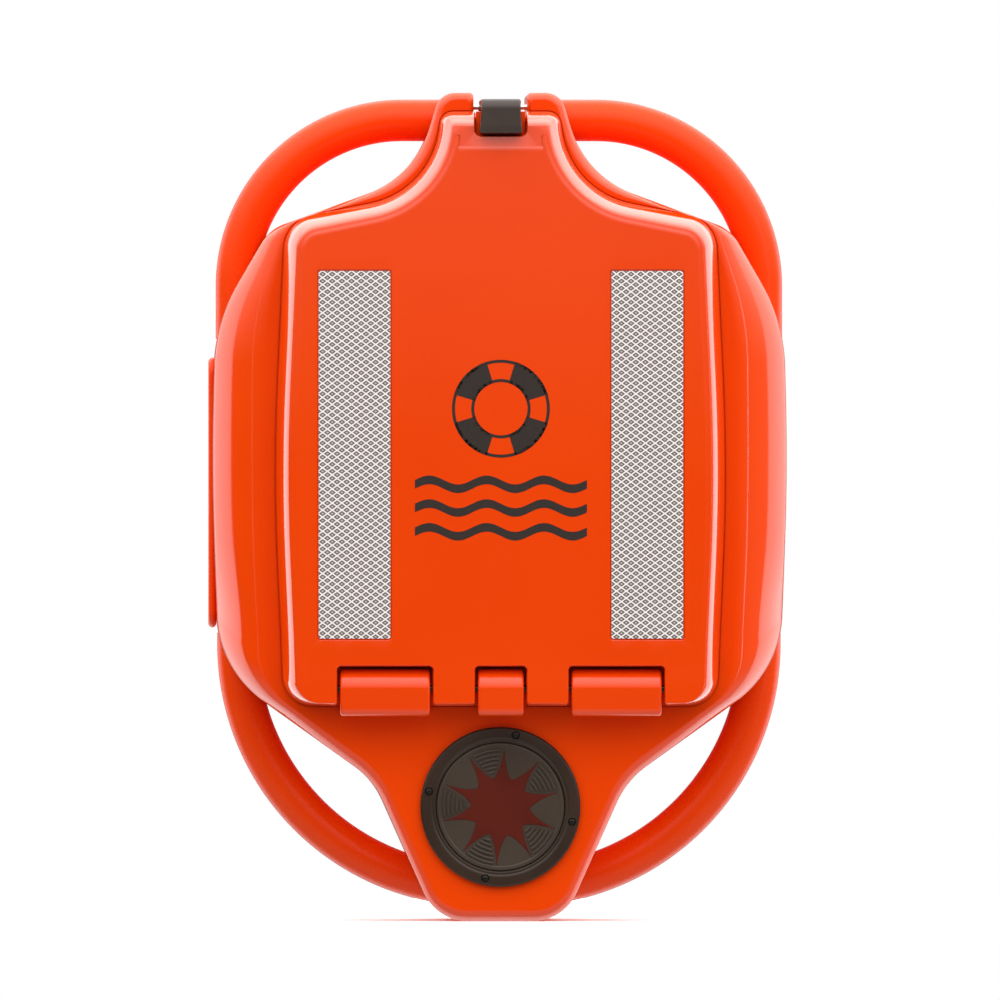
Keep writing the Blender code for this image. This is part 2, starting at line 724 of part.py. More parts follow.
def strip_outline(sign, margin):
    """Return the outline of a reflective strip on one side."""
    width, height = STRIP_SIZE[0] / 2 - margin, STRIP_SIZE[1] / 2 - margin
    corners = rounded_rectangle(width, -height, height, STRIP_CORNER, 3)
    return [(x + sign * STRIP_CENTRE[0], z + STRIP_CENTRE[1]) for x, z in outline(corners)]


def build_strips(parts, materials):
    """Build the two retroreflective strips in their recesses."""
    strips = []
    front = Y_LID_FRONT + STRIP_DEPTH - GAP - STRIP_THICKNESS
    for side, sign in (("left", -1.0), ("right", 1.0)):
        strips.append(plate(f"reflective_strip_{side}", strip_outline(sign, GAP), front,
                            front + STRIP_THICKNESS, parts, materials["tape"]))
    return strips


# ---------------------------------------------------------------- hinge on the body

def build_body_hinge(parts, cutters, materials):
    """Build the three body knuckles and the hinge pin."""
    foot_back = Y_DECK - GAP
    front = HINGE_Y - HINGE_BARREL
    points = [(foot_back, HINGE_FOOT_Z), (foot_back, -0.1150)]
    points += arc((HINGE_Y, HINGE_Z), HINGE_BARREL, radians(45), pi, 10)
    points += arc((front + HINGE_FOOT_ROUND, HINGE_FOOT_Z + HINGE_FOOT_ROUND), HINGE_FOOT_ROUND,
                  pi, 1.5 * pi, 4)
    spans = {"left": (-SIDE_KNUCKLE[1], -SIDE_KNUCKLE[0]), "right": SIDE_KNUCKLE,
             "centre": (-CENTRE_KNUCKLE, CENTRE_KNUCKLE)}
    for name, span in spans.items():
        knuckle = side_plate(f"body_knuckle_{name}", points, *span, parts, materials["orange"])
        add_bevel(knuckle, 0.0012)
        cut(knuckle, hinge_bore(f"body_bore_{name}", span, cutters, materials))
    rod("hinge_pin", (0, HINGE_Y, HINGE_Z), "X", HINGE_PIN_RADIUS, 2 * HINGE_PIN_HALF_LENGTH,
        parts, materials["steel"], 20)


# ---------------------------------------------------------------- latch

def build_latch(parts, cutters, materials):
    """Build the latch lever, its pin between the horns and its spring."""
    points = arc((LATCH_PIN_Y, LATCH_PIN_Z), LATCH_BOSS, pi / 2, -pi / 2, 8)
    points += [(-0.1415, 0.2678), (-0.1642, 0.2678), (-0.1642, LATCH_BOTTOM)]
    points += [(-0.1822, LATCH_BOTTOM), (-0.1832, 0.2530), (-0.1832, 0.2570), (-0.1812, 0.2595)]
    points += arc((-0.1735, 0.2675), 0.0074, pi, pi / 2, 5)
    lever = side_plate("latch_lever", points, -LATCH_HALF_WIDTH, LATCH_HALF_WIDTH, parts,
                       materials["black"])
    cut(lever, rod("latch_lever_bore", (0, LATCH_PIN_Y, LATCH_PIN_Z), "X", LATCH_PIN_RADIUS + GAP,
                   0.040, cutters, materials["foam"], 20))
    cut(lever, box("spring_gap", (0.0085, -0.146, 0.260), (0.020, -0.130, 0.280), cutters,
                   materials["foam"]))
    rod("latch_pin", (0, LATCH_PIN_Y, LATCH_PIN_Z), "X", LATCH_PIN_RADIUS,
        2 * LATCH_PIN_HALF_LENGTH, parts, materials["steel"], 20)
    path = []
    steps = 12
    for step in range(int(SPRING_TURNS * steps) + 1):
        angle = 2 * pi * step / steps
        path.append((SPRING_START_X + SPRING_PITCH * step / steps, LATCH_PIN_Y + SPRING_RADIUS * cos(angle),
                     LATCH_PIN_Z + SPRING_RADIUS * sin(angle)))
    tube("latch_spring", path, SPRING_WIRE, parts, materials["steel"], 1)
    return [lever]


# ---------------------------------------------------------------- port

def build_port(parts, cutters, materials):
    """Build the screw-in port. Heights are measured forwards from the deck."""
    place = (0, Y_DECK, PORT_Z)
    ring = turned("port_ring", [
        (PORT_RING_RADIUS - 0.0008, PORT_RING_FRONT), (PORT_RING_RADIUS, PORT_RING_FRONT - 0.0008),
        (PORT_RING_RADIUS, PORT_RING_BACK), (PORT_NECK_RADIUS, PORT_RING_BACK),
        (PORT_NECK_RADIUS, -PORT_NECK_DEPTH), (PORT_NECK_BORE, -PORT_NECK_DEPTH),
        (PORT_NECK_BORE, PORT_SEAL_SEAT), (PORT_BORE_RADIUS, PORT_SEAL_SEAT),
        (PORT_BORE_RADIUS, PORT_RING_FRONT)], place, "front", parts, materials["grey"], True, 48)
    gasket = turned("port_gasket", [(0.0535, 0.00075), (0.0535, 0.0003), (0.0472, 0.0003),
                                    (0.0472, 0.00075)], place, "front", parts, materials["rubber"], True, 32)
    for index, (x, z) in enumerate(port_screw_places()):
        seat = (x, Y_DECK, z)
        bore = turned(f"port_ring_bore_{index + 1}",
                      [(0, 0.010), (0.0026, 0.010), (0.0026, 0.0026), (PORT_SCREW_HOLE, 0.0026),
                       (PORT_SCREW_HOLE, -0.010), (0, -0.010)], seat, "front", cutters,
                      materials["foam"], False, 12)
        cut(ring, bore)
        cut(gasket, bore)
        turned(f"port_screw_{index + 1}",
               [(0, 0.0040), (0.0018, 0.0040), (0.0023, 0.0036), (0.0023, 0.0029), (0.0013, 0.0029),
                (0.0013, -0.0080), (0, -0.0088)], seat, "front", parts, materials["steel"], False, 12)
    section = arc((0.0411, -0.0004), 0.0009, 0.0, -2 * pi, 6)[:-1]
    seal = turned("port_seal", section, place, "front", parts, materials["rubber"], True, 32)
    cap = turned("port_cap", [
        (0, PORT_CAP_FRONT), (PORT_CAP_RADIUS - 0.0008, PORT_CAP_FRONT),
        (PORT_CAP_RADIUS, PORT_CAP_FRONT - 0.0008), (PORT_CAP_RADIUS, 0.0009),
        (0.0382, 0.0009), (0.0382, -0.0200), (0.0352, -0.0200), (0.0352, 0.0004), (0, 0.0004)],
        place, "front", parts, materials["grey"], False, 48)
    cut(cap, plate("star_recess", star_points(0.0003), Y_DECK - 0.010, Y_DECK - 0.0028,
                   cutters, materials["foam"]))
    star = plate("port_star", star_points(0.0), Y_DECK - 0.0037, Y_DECK - 0.0031,
                 parts, materials["dark_red"])
    return [seal], [cap, star]


def star_points(margin):
    """Return the star's outline around the port's centre."""
    points = []
    for index in range(2 * STAR_TIPS):
        radius = (STAR_OUTER if index % 2 == 0 else STAR_INNER) + margin * (4 if index % 2 == 0 else 1)
        angle = pi / 2 + STAR_TURN - index * pi / STAR_TIPS
        points.append((radius * cos(angle), PORT_Z + radius * sin(angle)))
    return points


# ---------------------------------------------------------------- beacon

def build_beacon(parts, cutters, materials):
    """Build the beacon standing in its cradle. Heights are world Z."""
    place = (0, BEACON_Y, 0)
    inside = BEACON_RADIUS - BEACON_WALL
    floor = BEACON_BOTTOM + BEACON_WALL
    turned("beacon_lower_case", [
        (0, floor), (inside - 0.003, floor), (inside, floor + 0.004), (inside, BEACON_SPLIT),
        (BEACON_RADIUS, BEACON_SPLIT), (BEACON_RADIUS, BEACON_BOTTOM + 0.006),
        (BEACON_RADIUS - 0.004, BEACON_BOTTOM), (0, BEACON_BOTTOM)],
        place, "up", parts, materials["yellow"])
    turned("beacon_case_seal", [
        (0.0436, 0.0421), (0.0436, 0.0403), (0.0405, 0.0403), (0.0405, 0.0421)],
        place, "up", parts, materials["rubber"], True)
    upper = turned("beacon_upper_case", [
        (0.0330, 0.0945), (0.0400, 0.0945), (BEACON_RADIUS, 0.0890), (BEACON_RADIUS, 0.0424),
        (inside, 0.0424), (inside, 0.0880), (0.0385, 0.0920), (0.0330, 0.0920)],
        place, "up", parts, materials["yellow"], True)
    cut(upper, rod("test_button_bore", (0, BEACON_Y - BEACON_RADIUS, BUTTON_Z), "Y", 0.0054, 0.020,
                   cutters, materials["foam"], 24))
    outside = dome_curve(DOME_RADIUS, DOME_RISE)
    inner = dome_curve(DOME_RADIUS - DOME_WALL, DOME_RISE - DOME_WALL)[::-1]
    rim = [(DOME_RADIUS, 0.0990), (0.0375, 0.0990), (0.0375, 0.0948), (0.0320, 0.0948)]
    turned("beacon_dome", outside + rim + inner, place, "up", parts, materials["clear"])
    turned("strobe_lamp", [
        (0, 0.1180), (0.0050, 0.1170), (0.0080, 0.1130), (0.0080, 0.1010), (0.0120, 0.1000),
        (0.0120, 0.0859), (0, 0.0859)], place, "up", parts, materials["clear"], False, 24)
    turned("battery_pack", [
        (0, 0.0300), (0.0290, 0.0300), (0.0300, 0.0290), (0.0300, -0.0760), (0.0290, -0.0772), (0, -0.0772)],
        place, "up", parts, materials["cell"], False, 32)
    build_board(parts, cutters, materials)
    antenna_x = BEACON_RADIUS + 0.005 + GAP
    turned("beacon_antenna", [
        (0, 0.1700), (0.0015, 0.1695), (0.0018, 0.1680), (0.0018, 0.0720), (0.0050, 0.0700),
        (0.0050, 0.0460), (0, 0.0460)], (antenna_x, BEACON_Y, 0), "up", parts, materials["black"], False, 16)
    face = BEACON_Y - BEACON_RADIUS
    switch = box("beacon_switch", (-SWITCH_HALF_WIDTH, face - 0.0045, SWITCH_Z[0]),
                 (SWITCH_HALF_WIDTH, face - 0.0005, SWITCH_Z[1]), parts, materials["red"], 0.0008)
    button = rod("beacon_test_button", (0, face, BUTTON_Z), "Y", 0.0050, 0.0070, parts,
                 materials["black"], 24)
    add_bevel(button, 0.0006)
    return [switch], [button]


def dome_curve(radius, rise, steps=4):
    """Return the dome's profile from its top down to its spring line."""
    angles = [pi / 2 * step / steps for step in range(steps + 1)]
    return [(radius * sin(angle), DOME_SPRING + rise * cos(angle)) for angle in angles]


def build_board(parts, cutters, materials):
    """Build the circuit board on its three legs."""
    board = rod("circuit_board", (0, BEACON_Y, BOARD_Z), "Z", BOARD_RADIUS, BOARD_THICKNESS, parts,
                materials["board"], 32)
    leg_z = BOARD_Z - BOARD_LEG_LENGTH / 2 - 0.0001
    for index in range(3):
        angle = pi / 2 + index * 2 * pi / 3
        centre = (BOARD_LEG_CIRCLE * cos(angle), BEACON_Y + BOARD_LEG_CIRCLE * sin(angle), leg_z)
        leg = rod(f"board_leg_{index + 1}", centre, "Z", BOARD_LEG_RADIUS, BOARD_LEG_LENGTH, cutters,
                  materials["board"], 12)
        boolean(board, leg, "UNION")


def build_cradle(parts, cutters, materials):
    """Build the foam cradle on the tub's floor."""
    sides = outline(inset(tub_outline(), 0.0015))
    levels = (CRADLE_FRONT_Y, TUB_FLOOR_Y - TUB_WALL - GAP)
    cradle = loft("beacon_cradle", [level(sides, y) for y in levels], parts, materials["foam"])
    cut(cradle, rod("cradle_trough", (0, BEACON_Y, 0.0445), "Z", BEACON_RADIUS + 0.0005, 0.2500,
                    cutters, materials["foam"], 32))


# ---------------------------------------------------------------- assembly

def main():
    """Build the whole container."""
    clear_scene()
    parts = make_collection(COLLECTION)
    cutters = make_collection("cutters")
    materials = make_materials()
    build_shells(parts, cutters, materials)
    build_handles(parts, materials)
    build_side_pad(parts, cutters, materials)
    build_buoyancy(parts, materials)
    build_tub(parts, materials)
    build_body_hinge(parts, cutters, materials)
    lid = build_lid(parts, cutters, materials)
    latch = build_latch(parts, cutters, materials)
    seal, cap = build_port(parts, cutters, materials)
    build_cradle(parts, cutters, materials)
    switch, button = build_beacon(parts, cutters, materials)
    hang("lid_axis", (0, HINGE_Y, HINGE_Z), lid, parts)
    hang("latch_axis", (0, LATCH_PIN_Y, LATCH_PIN_Z), latch, parts)
    hang("port_axis", (0, Y_DECK, PORT_Z), seal + cap, parts)
    hang("switch_path", (0, BEACON_Y - BEACON_RADIUS, sum(SWITCH_Z) / 2), switch, parts)
    hang("button_path", (0, BEACON_Y - BEACON_RADIUS, BUTTON_Z), button, parts)


main()
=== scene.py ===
"""Looks of the beacon grab container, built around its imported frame.

Metres, in the frame's own axes: +Z up, the front faces -Y and the flat back lies in the plane Y = 0.
"""

import json
from math import atan2, cos, hypot, pi, radians, sin

import bmesh
import bpy
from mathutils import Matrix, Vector
from mathutils.geometry import delaunay_2d_cdt


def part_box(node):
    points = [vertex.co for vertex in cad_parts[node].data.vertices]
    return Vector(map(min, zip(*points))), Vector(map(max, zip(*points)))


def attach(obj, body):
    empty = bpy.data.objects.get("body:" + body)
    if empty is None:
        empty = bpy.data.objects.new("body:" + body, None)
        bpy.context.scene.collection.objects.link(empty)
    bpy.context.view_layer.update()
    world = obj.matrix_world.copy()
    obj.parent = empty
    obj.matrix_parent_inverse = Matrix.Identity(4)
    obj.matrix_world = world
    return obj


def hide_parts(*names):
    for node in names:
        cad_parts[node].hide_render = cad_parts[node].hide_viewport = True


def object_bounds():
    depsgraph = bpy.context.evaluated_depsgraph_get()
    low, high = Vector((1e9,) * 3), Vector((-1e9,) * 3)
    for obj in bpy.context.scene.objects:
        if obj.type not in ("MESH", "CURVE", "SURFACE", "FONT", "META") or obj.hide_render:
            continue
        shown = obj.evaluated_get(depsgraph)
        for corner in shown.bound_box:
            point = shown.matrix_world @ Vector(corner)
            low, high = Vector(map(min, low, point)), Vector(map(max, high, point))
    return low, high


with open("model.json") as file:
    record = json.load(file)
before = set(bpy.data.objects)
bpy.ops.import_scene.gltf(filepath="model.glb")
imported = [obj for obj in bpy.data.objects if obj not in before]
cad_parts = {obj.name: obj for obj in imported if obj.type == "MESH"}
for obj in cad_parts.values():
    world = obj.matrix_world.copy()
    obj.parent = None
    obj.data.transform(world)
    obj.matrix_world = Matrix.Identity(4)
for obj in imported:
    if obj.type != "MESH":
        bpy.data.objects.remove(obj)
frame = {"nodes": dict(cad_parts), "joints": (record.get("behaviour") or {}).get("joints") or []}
cad_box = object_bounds()
joint_place = {joint["name"]: joint.get("pos_m") for joint in frame["joints"]}

# ---- places and sizes

GAP = 0.0003
FINE = 3                  # each fillet has this many times the frame's steps
STRAIGHT_STEPS = 5        # pieces of the straight run between two fillets

HINGE_Y, HINGE_Z = joint_place["lid_hinge"][1:]
LATCH_Y, LATCH_Z = joint_place["latch_pivot"][1:]
Y_DECK, PORT_Z = joint_place["cap_turn"][1:]
Y_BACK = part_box("rear_shell")[1].y
Y_PARTING = (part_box("front_shell")[1].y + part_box("rear_shell")[0].y) / 2
Y_LID_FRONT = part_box("lid_skin")[0].y
Y_LID_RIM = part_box("lid_skin")[1].y

# Half outlines, from the top centre down to the bottom centre.
# Each corner is (x, z, fillet radius, steps along the fillet).
BODY_OUTLINE = [
    (0.0000, 0.2650, 0.0, 0),
    (0.0181, 0.2650, 0.0020, 2),
    (0.0181, 0.2795, 0.0030, 2),
    (0.0405, 0.2795, 0.0135, 4),
    (0.0580, 0.2228, 0.0680, 5),
    (0.1560, 0.1872, 0.0300, 4),
    (0.1925, 0.1250, 0.1200, 4),
    (0.1948, 0.0280, 1.5000, 2),
    (0.1905, -0.1100, 0.0750, 6),
    (0.0855, -0.1850, 0.0600, 4),
    (0.0432, -0.2800, 0.0320, 5),
    (0.0000, -0.2800, 0.0, 0),
]
DECK_OUTLINE = [
    (0.0000, 0.2620, 0.0, 0),
    (0.0211, 0.2620, 0.0020, 2),
    (0.0211, 0.2745, 0.0025, 2),
    (0.0365, 0.2745, 0.0095, 4),
    (0.0525, 0.2180, 0.0630, 5),
    (0.1425, 0.1918, 0.0160, 4),
    (0.1580, 0.1280, 0.2400, 4),
    (0.1580, 0.0280, 6.2000, 2),
    (0.1560, -0.1240, 0.0350, 6),
    (0.0792, -0.1790, 0.0660, 4),
    (0.0378, -0.2720, 0.0230, 5),
    (0.0000, -0.2720, 0.0, 0),
]
LID_OUTLINE = [
    (0.0000, 0.2667, 0.0, 0),
    (0.0395, 0.2667, 0.0090, 4),
    (0.0480, 0.2128, 0.0580, 5),
    (0.1453, 0.1930, 0.0240, 5),
    (0.1530, 0.0250, 1.4000, 2),
    (0.1460, -0.1345, 0.0200, 4),
    (0.0000, -0.1345, 0.0, 0),
]
SHELL_WALL = 0.004
EDGE_SHAPE = 1.5          # depth of the shell's inner edge, over its width
# Tilts of the rounded edges: (share of the edge's width, degrees).
BODY_TILT = [(0.0, 0.0), (0.60, 50.0), (0.97, 66.0), (1.0, 84.0)]
BODY_EDGE_STEPS = 26
RIM_WALL = 0.009          # straight wall left beside the parting plane
BACK_EDGE = 0.008         # how far the back face is set in from the silhouette
SEAM = 0.0006             # chamfer beside the parting plane
SHELL_INSET = 0.0015      # further inset of a shell's inner face
TUB_HOLE_MARGIN = 0.0036
PORT_HOLE_RADIUS = 0.0470
LATCH_BORE_RADIUS = 0.0021
PAD_CORNER = 0.012
TUB_LIP = 0.012           # width of the storage tub's flange
TUB_WALL = 0.003

LID_EDGE = 0.0105         # width of the steep rounded wall along the lid's top and sides
LID_BOTTOM_EDGE = 0.0020
NOTCH_EDGE = 0.0011       # rounding round the latch and hinge notches
LID_BORDER = 0.0007       # narrow flat band inside the rounded edge
LID_TILT = [(0.0, 0.0), (0.10, 24.0), (0.16, 52.0), (0.24, 63.0), (0.54, 72.0), (0.64, 77.0),
            (1.0, 80.0)]
LID_EDGE_STEPS = 24
GROOVE = (0.0001, 0.0009, 0.0015)         # start and end outside the lid's rim, depth in the deck
LID_WALL = 0.0035
LID_BOTTOM_WALL = 0.0030
LID_INSIDE = ((0.0010, 0.0170), (0.0060, 0.0100), (0.0105, 0.0050))    # (draft, depth behind the front)
NOTCH_WALL = 0.0015
LATCH_NOTCH = (0.0170, 0.2504)            # half width, bottom
KNUCKLE_GAP = 0.0017
LID_OPEN_CUT = (-0.157, -0.118, -0.095)   # rim's Y near the hinge, so the lid swings past the deck
PLATEAU_INSET = 0.0130
PLATEAU_TOP_INSET = 0.0250
PLATEAU_BOTTOM_INSET = 0.0345
PLATEAU_SLOPE = 0.11
PLATEAU_STEP = 0.0002
PLATEAU_BLEND = 0.0016
PLATEAU_FADE = (-0.120, -0.050)
CROWN = (0.06, 0.020)                     # curvature of the lid's front above a height
CROWN_BANDS, CROWN_BAND = 24, 0.010
CROWN_FADE = (-0.172, -0.160)             # Y between which the curve fades towards the lid's rim

HANDLE_RADIUS = 0.0141
HANDLE_FIT = 0.00035
TOP_HANDLE_CENTRE = (0.0657, 0.1495)
TOP_HANDLE_SWEEP = 0.1122
TOP_HANDLE_INNER_X = 0.0260
TOP_HANDLE_END_Z = 0.1135
BOTTOM_HANDLE_CENTRE = (0.0135, -0.0935)
BOTTOM_HANDLE_SWEEP = 0.1634
BOTTOM_HANDLE_END_Z = -0.0855
BOTTOM_HANDLE_END_ANGLE = radians(-81)

STAR_TIPS = 10
STAR_OUTER = 0.0400
STAR_INNER = 0.0195
STAR_WAIST = (0.0245, 0.0012)             # control point of a ray's concave side
STAR_TURN = radians(-4)

VIEW_DISTANCE = 20.0
VIEW_WIDTH = 0.676        # width of the picture in the plane Y = VIEW_PLANE
VIEW_PLANE = -0.130
VIEW_CENTRE_Z = 0.0044
VIEW_TURN = radians(0.75)

# The room's light by height: (sine of elevation, strength).
ROOM_LIGHT = [(-1.0, 0.95), (-0.50, 0.70), (-0.20, 0.10), (0.006, 0.02), (0.08, 0.30),
              (0.25, 0.90), (0.50, 1.9), (0.75, 2.8), (1.0, 2.4)]
RIGHT_LIGHT = 0.25
RIGHT_EDGE = 0.2          # sine of the angle at which the light from the right begins
WALL_LIGHT = 2.2
WALL_EDGE = 0.25          # sine of the angle at which the white wall begins behind the object
WALL_BLEND = 0.02
WALL_DIFFUSE = 0.5        # share of the wall's light that matt surfaces receive
WALL_CENTRE = (0.80, 0.93, 0.15)          # sines between which the wall dims, and its strength there
STRIP_POWER = 1.8
FLOOR_RADIUS = 1.1
WHITE = (1.0, 1.0, 1.0, 1.0)


# ---- outlines

def unit(x, z):
    """Return a direction of length one."""
    length = hypot(x, z)
    return x / length, z / length


def inset(corners, widths):
    """Move every edge of a half outline inwards, each by its own width or all by the same."""
    edges = len(corners) - 1
    if not isinstance(widths, (list, tuple)):
        widths = [widths] * edges
    moved = [(0.0, corners[0][1] - widths[0], 0.0, 0)]
    for index in range(1, edges):
        x, z, radius, steps = corners[index]
        ax, az = unit(x - corners[index - 1][0], z - corners[index - 1][1])
        bx, bz = unit(corners[index + 1][0] - x, corners[index + 1][1] - z)
        turn = ax * bz - az * bx
        wa, wb = widths[index - 1], widths[index]
        if abs(turn) < 0.001:
            px, pz = az * wa, -ax * wa
        else:
            px, pz = (wa * bx - wb * ax) / turn * -1.0, (wa * bz - wb * az) / turn * -1.0
        mean = (wa + wb) / 2
        new_radius = radius - mean if turn < 0 else radius + mean
        moved.append((x + px, z + pz, max(new_radius, 0.0004), steps))
    moved.append((0.0, corners[-1][1] + widths[-1], 0.0, 0))
    return moved


def fillet(before, corner, after):
    """Return the points along one filleted corner."""
    x, z, radius, steps = corner
    steps *= FINE
    ax, az = unit(x - before[0], z - before[1])
    bx, bz = unit(after[0] - x, after[1] - z)
    turn = atan2(ax * bz - az * bx, ax * bx + az * bz)
    reach = radius * abs(sin(turn / 2) / cos(turn / 2))
    side = 1.0 if turn > 0 else -1.0
    start_x, start_z = x - ax * reach, z - az * reach
    centre_x, centre_z = start_x - az * radius * side, start_z + ax * radius * side
    points = []
    for step in range(steps + 1):
        angle = turn * step / steps
        dx, dz = start_x - centre_x, start_z - centre_z
        points.append((centre_x + dx * cos(angle) - dz * sin(angle),
                       centre_z + dx * sin(angle) + dz * cos(angle)))
    return points


def between(start, end):
    """Return the points strictly between two points on a straight run."""
    return [(start[0] + (end[0] - start[0]) * step / STRAIGHT_STEPS,
             start[1] + (end[1] - start[1]) * step / STRAIGHT_STEPS)
            for step in range(1, STRAIGHT_STEPS)]


def outline(corners):
    """Return the closed outline of a half outline and its mirror image."""
    half = [corners[0][:2]]
    for before, corner, after in zip(corners, corners[1:], corners[2:]):
        run = fillet(before, corner, after)
        half += between(half[-1], run[0]) + run
    half += between(half[-1], corners[-1][:2]) + [corners[-1][:2]]
    return half + [(-x, z) for x, z in reversed(half[1:-1])]


def rounded_rectangle(half_width, bottom, top, radius, steps=4):
    """Return a half outline of a rectangle with round corners."""
    return [(0.0, top, 0.0, 0), (half_width, top, radius, steps),
            (half_width, bottom, radius, steps), (0.0, bottom, 0.0, 0)]


def arc(centre, radius, start, end, steps):
    """Return points on an arc in a plane, angles measured from its first axis."""
    points = []
    for step in range(steps + 1):
        angle = start + (end - start) * step / steps
        points.append((centre[0] + radius * cos(angle), centre[1] + radius * sin(angle)))
    return points


def circle(centre, radius, steps):
    """Return points round a circle."""
    return arc(centre, radius, 0.0, 2 * pi, steps)[:-1]


def around(steps):
    """Return evenly spaced angles of one full turn."""
    return [2 * pi * step / steps for step in range(steps)]


def smooth_step(value, low, high):
    """Return 0 below low, 1 above high and a smooth rise between."""
    share = min(max((value - low) / (high - low), 0.0), 1.0)
    return share * share * (3 - 2 * share)


# ---- mesh builders

def level(points, y):
    """Return an outline as points in one plane Y."""
    return [Vector((x, y, z)) for x, z in points]


def loop(bm, points):
    """Add a loop of points to a mesh."""
    return [bm.verts.new(point) for point in points]


def bridge(bm, *loops):
    """Join matched loops, one after another, with quads."""
    for lower, upper in zip(loops, loops[1:]):
        for index in range(len(lower)):
            after = (index + 1) % len(lower)
            bm.faces.new((lower[index], lower[after], upper[after], upper[index]))


def inside(polygon, x, z):
    """Say whether a point lies inside a polygon."""
    found = False
    for (ax, az), (bx, bz) in zip(polygon, polygon[1:] + polygon[:1]):
        if (az > z) != (bz > z) and x < ax + (z - az) / (bz - az) * (bx - ax):
            found = not found
    return found


def fill(bm, outer, holes=()):
    """Fill the region inside one loop and outside others with triangles, in X and Z."""
    loops = [outer, *holes]
    verts = [vert for ring in loops for vert in ring]
    edges, start = [], 0
    for ring in loops:
        count = len(ring)
        edges += [(start + index, start + (index + 1) % count) for index in range(count)]
        start += count
    flat = [Vector((vert.co.x, vert.co.z)) for vert in verts]
    borders = [[(vert.co.x, vert.co.z) for vert in ring] for ring in loops]
    found = delaunay_2d_cdt(flat, edges, [], 0, 1e-9)
    places = [ids[0] for ids in found[3]]
    for triangle in found[2]:
        corners = [verts[places[index]] for index in triangle]
        x = sum(vert.co.x for vert in corners) / 3
        z = sum(vert.co.z for vert in corners) / 3
        if inside(borders[0], x, z) and not any(inside(hole, x, z) for hole in borders[1:]):
            bm.faces.new(corners)


def new_object(name, bm, material, angle=32):
    """Turn a bmesh into a smooth-shaded object with its sharp edges kept."""
    bmesh.ops.recalc_face_normals(bm, faces=bm.faces)
    mesh = bpy.data.meshes.new(name)
    bm.to_mesh(mesh)
    bm.free()
    obj = bpy.data.objects.new(name, mesh)
    bpy.context.scene.collection.objects.link(obj)
    obj.data.materials.append(material)
    shade(obj, angle)
    return obj


def shade(obj, angle=32):
    """Shade smooth, keep edges above an angle sharp, and let large faces stay flat."""
    obj.data.shade_smooth()
    obj.data.set_sharp_from_angle(angle=radians(angle))
    if "flat_faces" not in obj.modifiers:
        weighted = obj.modifiers.new("flat_faces", "WEIGHTED_NORMAL")
        weighted.keep_sharp = True
        weighted.weight = 60


def bake(obj):
    """Apply an object's modifiers to its mesh."""
    bpy.context.view_layer.update()
    graph = bpy.context.evaluated_depsgraph_get()
    mesh = bpy.data.meshes.new_from_object(obj.evaluated_get(graph))
    obj.modifiers.clear()
    obj.data = mesh


def subtract(obj, *cutters):
    """Cut an object with closed cutters, then remove the cutters."""
    obj.modifiers.clear()
    for cutter in cutters:
        cutter.modifiers.clear()
        boolean = obj.modifiers.new(cutter.name, "BOOLEAN")
        boolean.operation = "DIFFERENCE"
        boolean.solver = "EXACT"
        boolean.object = cutter
    bake(obj)
    for cutter in cutters:
        bpy.data.objects.remove(cutter, do_unlink=True)
    shade(obj)


def loft(name, rings, material, angle=32, joined=False):
    """Return an object through matched rings, closed at both ends or joined end to end."""
    bm = bmesh.new()
    loops = [loop(bm, ring) for ring in rings]
    bridge(bm, *loops)
    if joined:
        bridge(bm, loops[-1], loops[0])
    else:
        bm.faces.new(loops[0])
        bm.faces.new(loops[-1])
    return new_object(name, bm, material, angle)


def turned(name, profile, centre, axis, material, steps=96, closed=False):
    """Return a turned piece from a profile of (radius, height), facing the front or up."""
    bm = bmesh.new()
    rings = []
    for radius, height in profile:
        angles = around(steps) if radius else [0.0]
        rings.append(loop(bm, [on_axis(centre, axis, radius * cos(angle), radius * sin(angle), height)
                               for angle in angles]))
    if closed:
        rings.append(rings[0])
    for lower, upper in zip(rings, rings[1:]):
        for index in range(steps):
            after = (index + 1) % steps
            if len(lower) == 1:
                bm.faces.new((lower[0], upper[after], upper[index]))
            elif len(upper) == 1:
                bm.faces.new((lower[index], lower[after], upper[0]))
            else:
                bm.faces.new((lower[index], lower[after], upper[after], upper[index]))
    return new_object(name, bm, material)


def rod(name, radius, low, high, centre, axis, material, steps):
    """Return a plain cylinder between two heights, which serves as the cutter of a bore."""
    profile = [(0.0, low), (radius, low), (radius, high), (0.0, high)]
    return turned(name, profile, centre, axis, material, steps)


def on_axis(centre, axis, across, along, height):
    """Return a point beside an axis through a centre. Height runs to the front, up or along X."""
    x, y, z = centre
    if axis == "front":
        return Vector((x + across, y - height, z + along))
    if axis == "side":
        return Vector((x + height, y + across, z + along))
    return Vector((x + across, y + along, z + height))


def round_off(profile, radius=0.0004, steps=3):
    """Return a profile whose inner corners are rounded."""
    made = [profile[0]]
    for before, corner, after in zip(profile, profile[1:], profile[2:]):
        ax, az = corner[0] - before[0], corner[1] - before[1]
        bx, bz = after[0] - corner[0], after[1] - corner[1]
        reach = min(radius, hypot(ax, az) / 2.2, hypot(bx, bz) / 2.2)
        ux, uz = unit(ax, az)
        vx, vz = unit(bx, bz)
        start = (corner[0] - ux * reach, corner[1] - uz * reach)
        end = (corner[0] + vx * reach, corner[1] + vz * reach)
        for step in range(steps + 1):
            t = step / steps
            made.append(tuple((1 - t) ** 2 * a + 2 * t * (1 - t) * b + t * t * c
                              for a, b, c in zip(start, corner, end)))
    return made + [profile[-1]]


def prism(name, points, x_low, x_high, material, bevel=0.0, segments=3):
    """Return a piece with an outline in Y and Z, between two planes X, with rounded ends."""
    ends = [[(x, y, z) for y, z in points] for x in (x_low, x_high)]
    return add_bevel(loft(name, ends, material), bevel, segments)


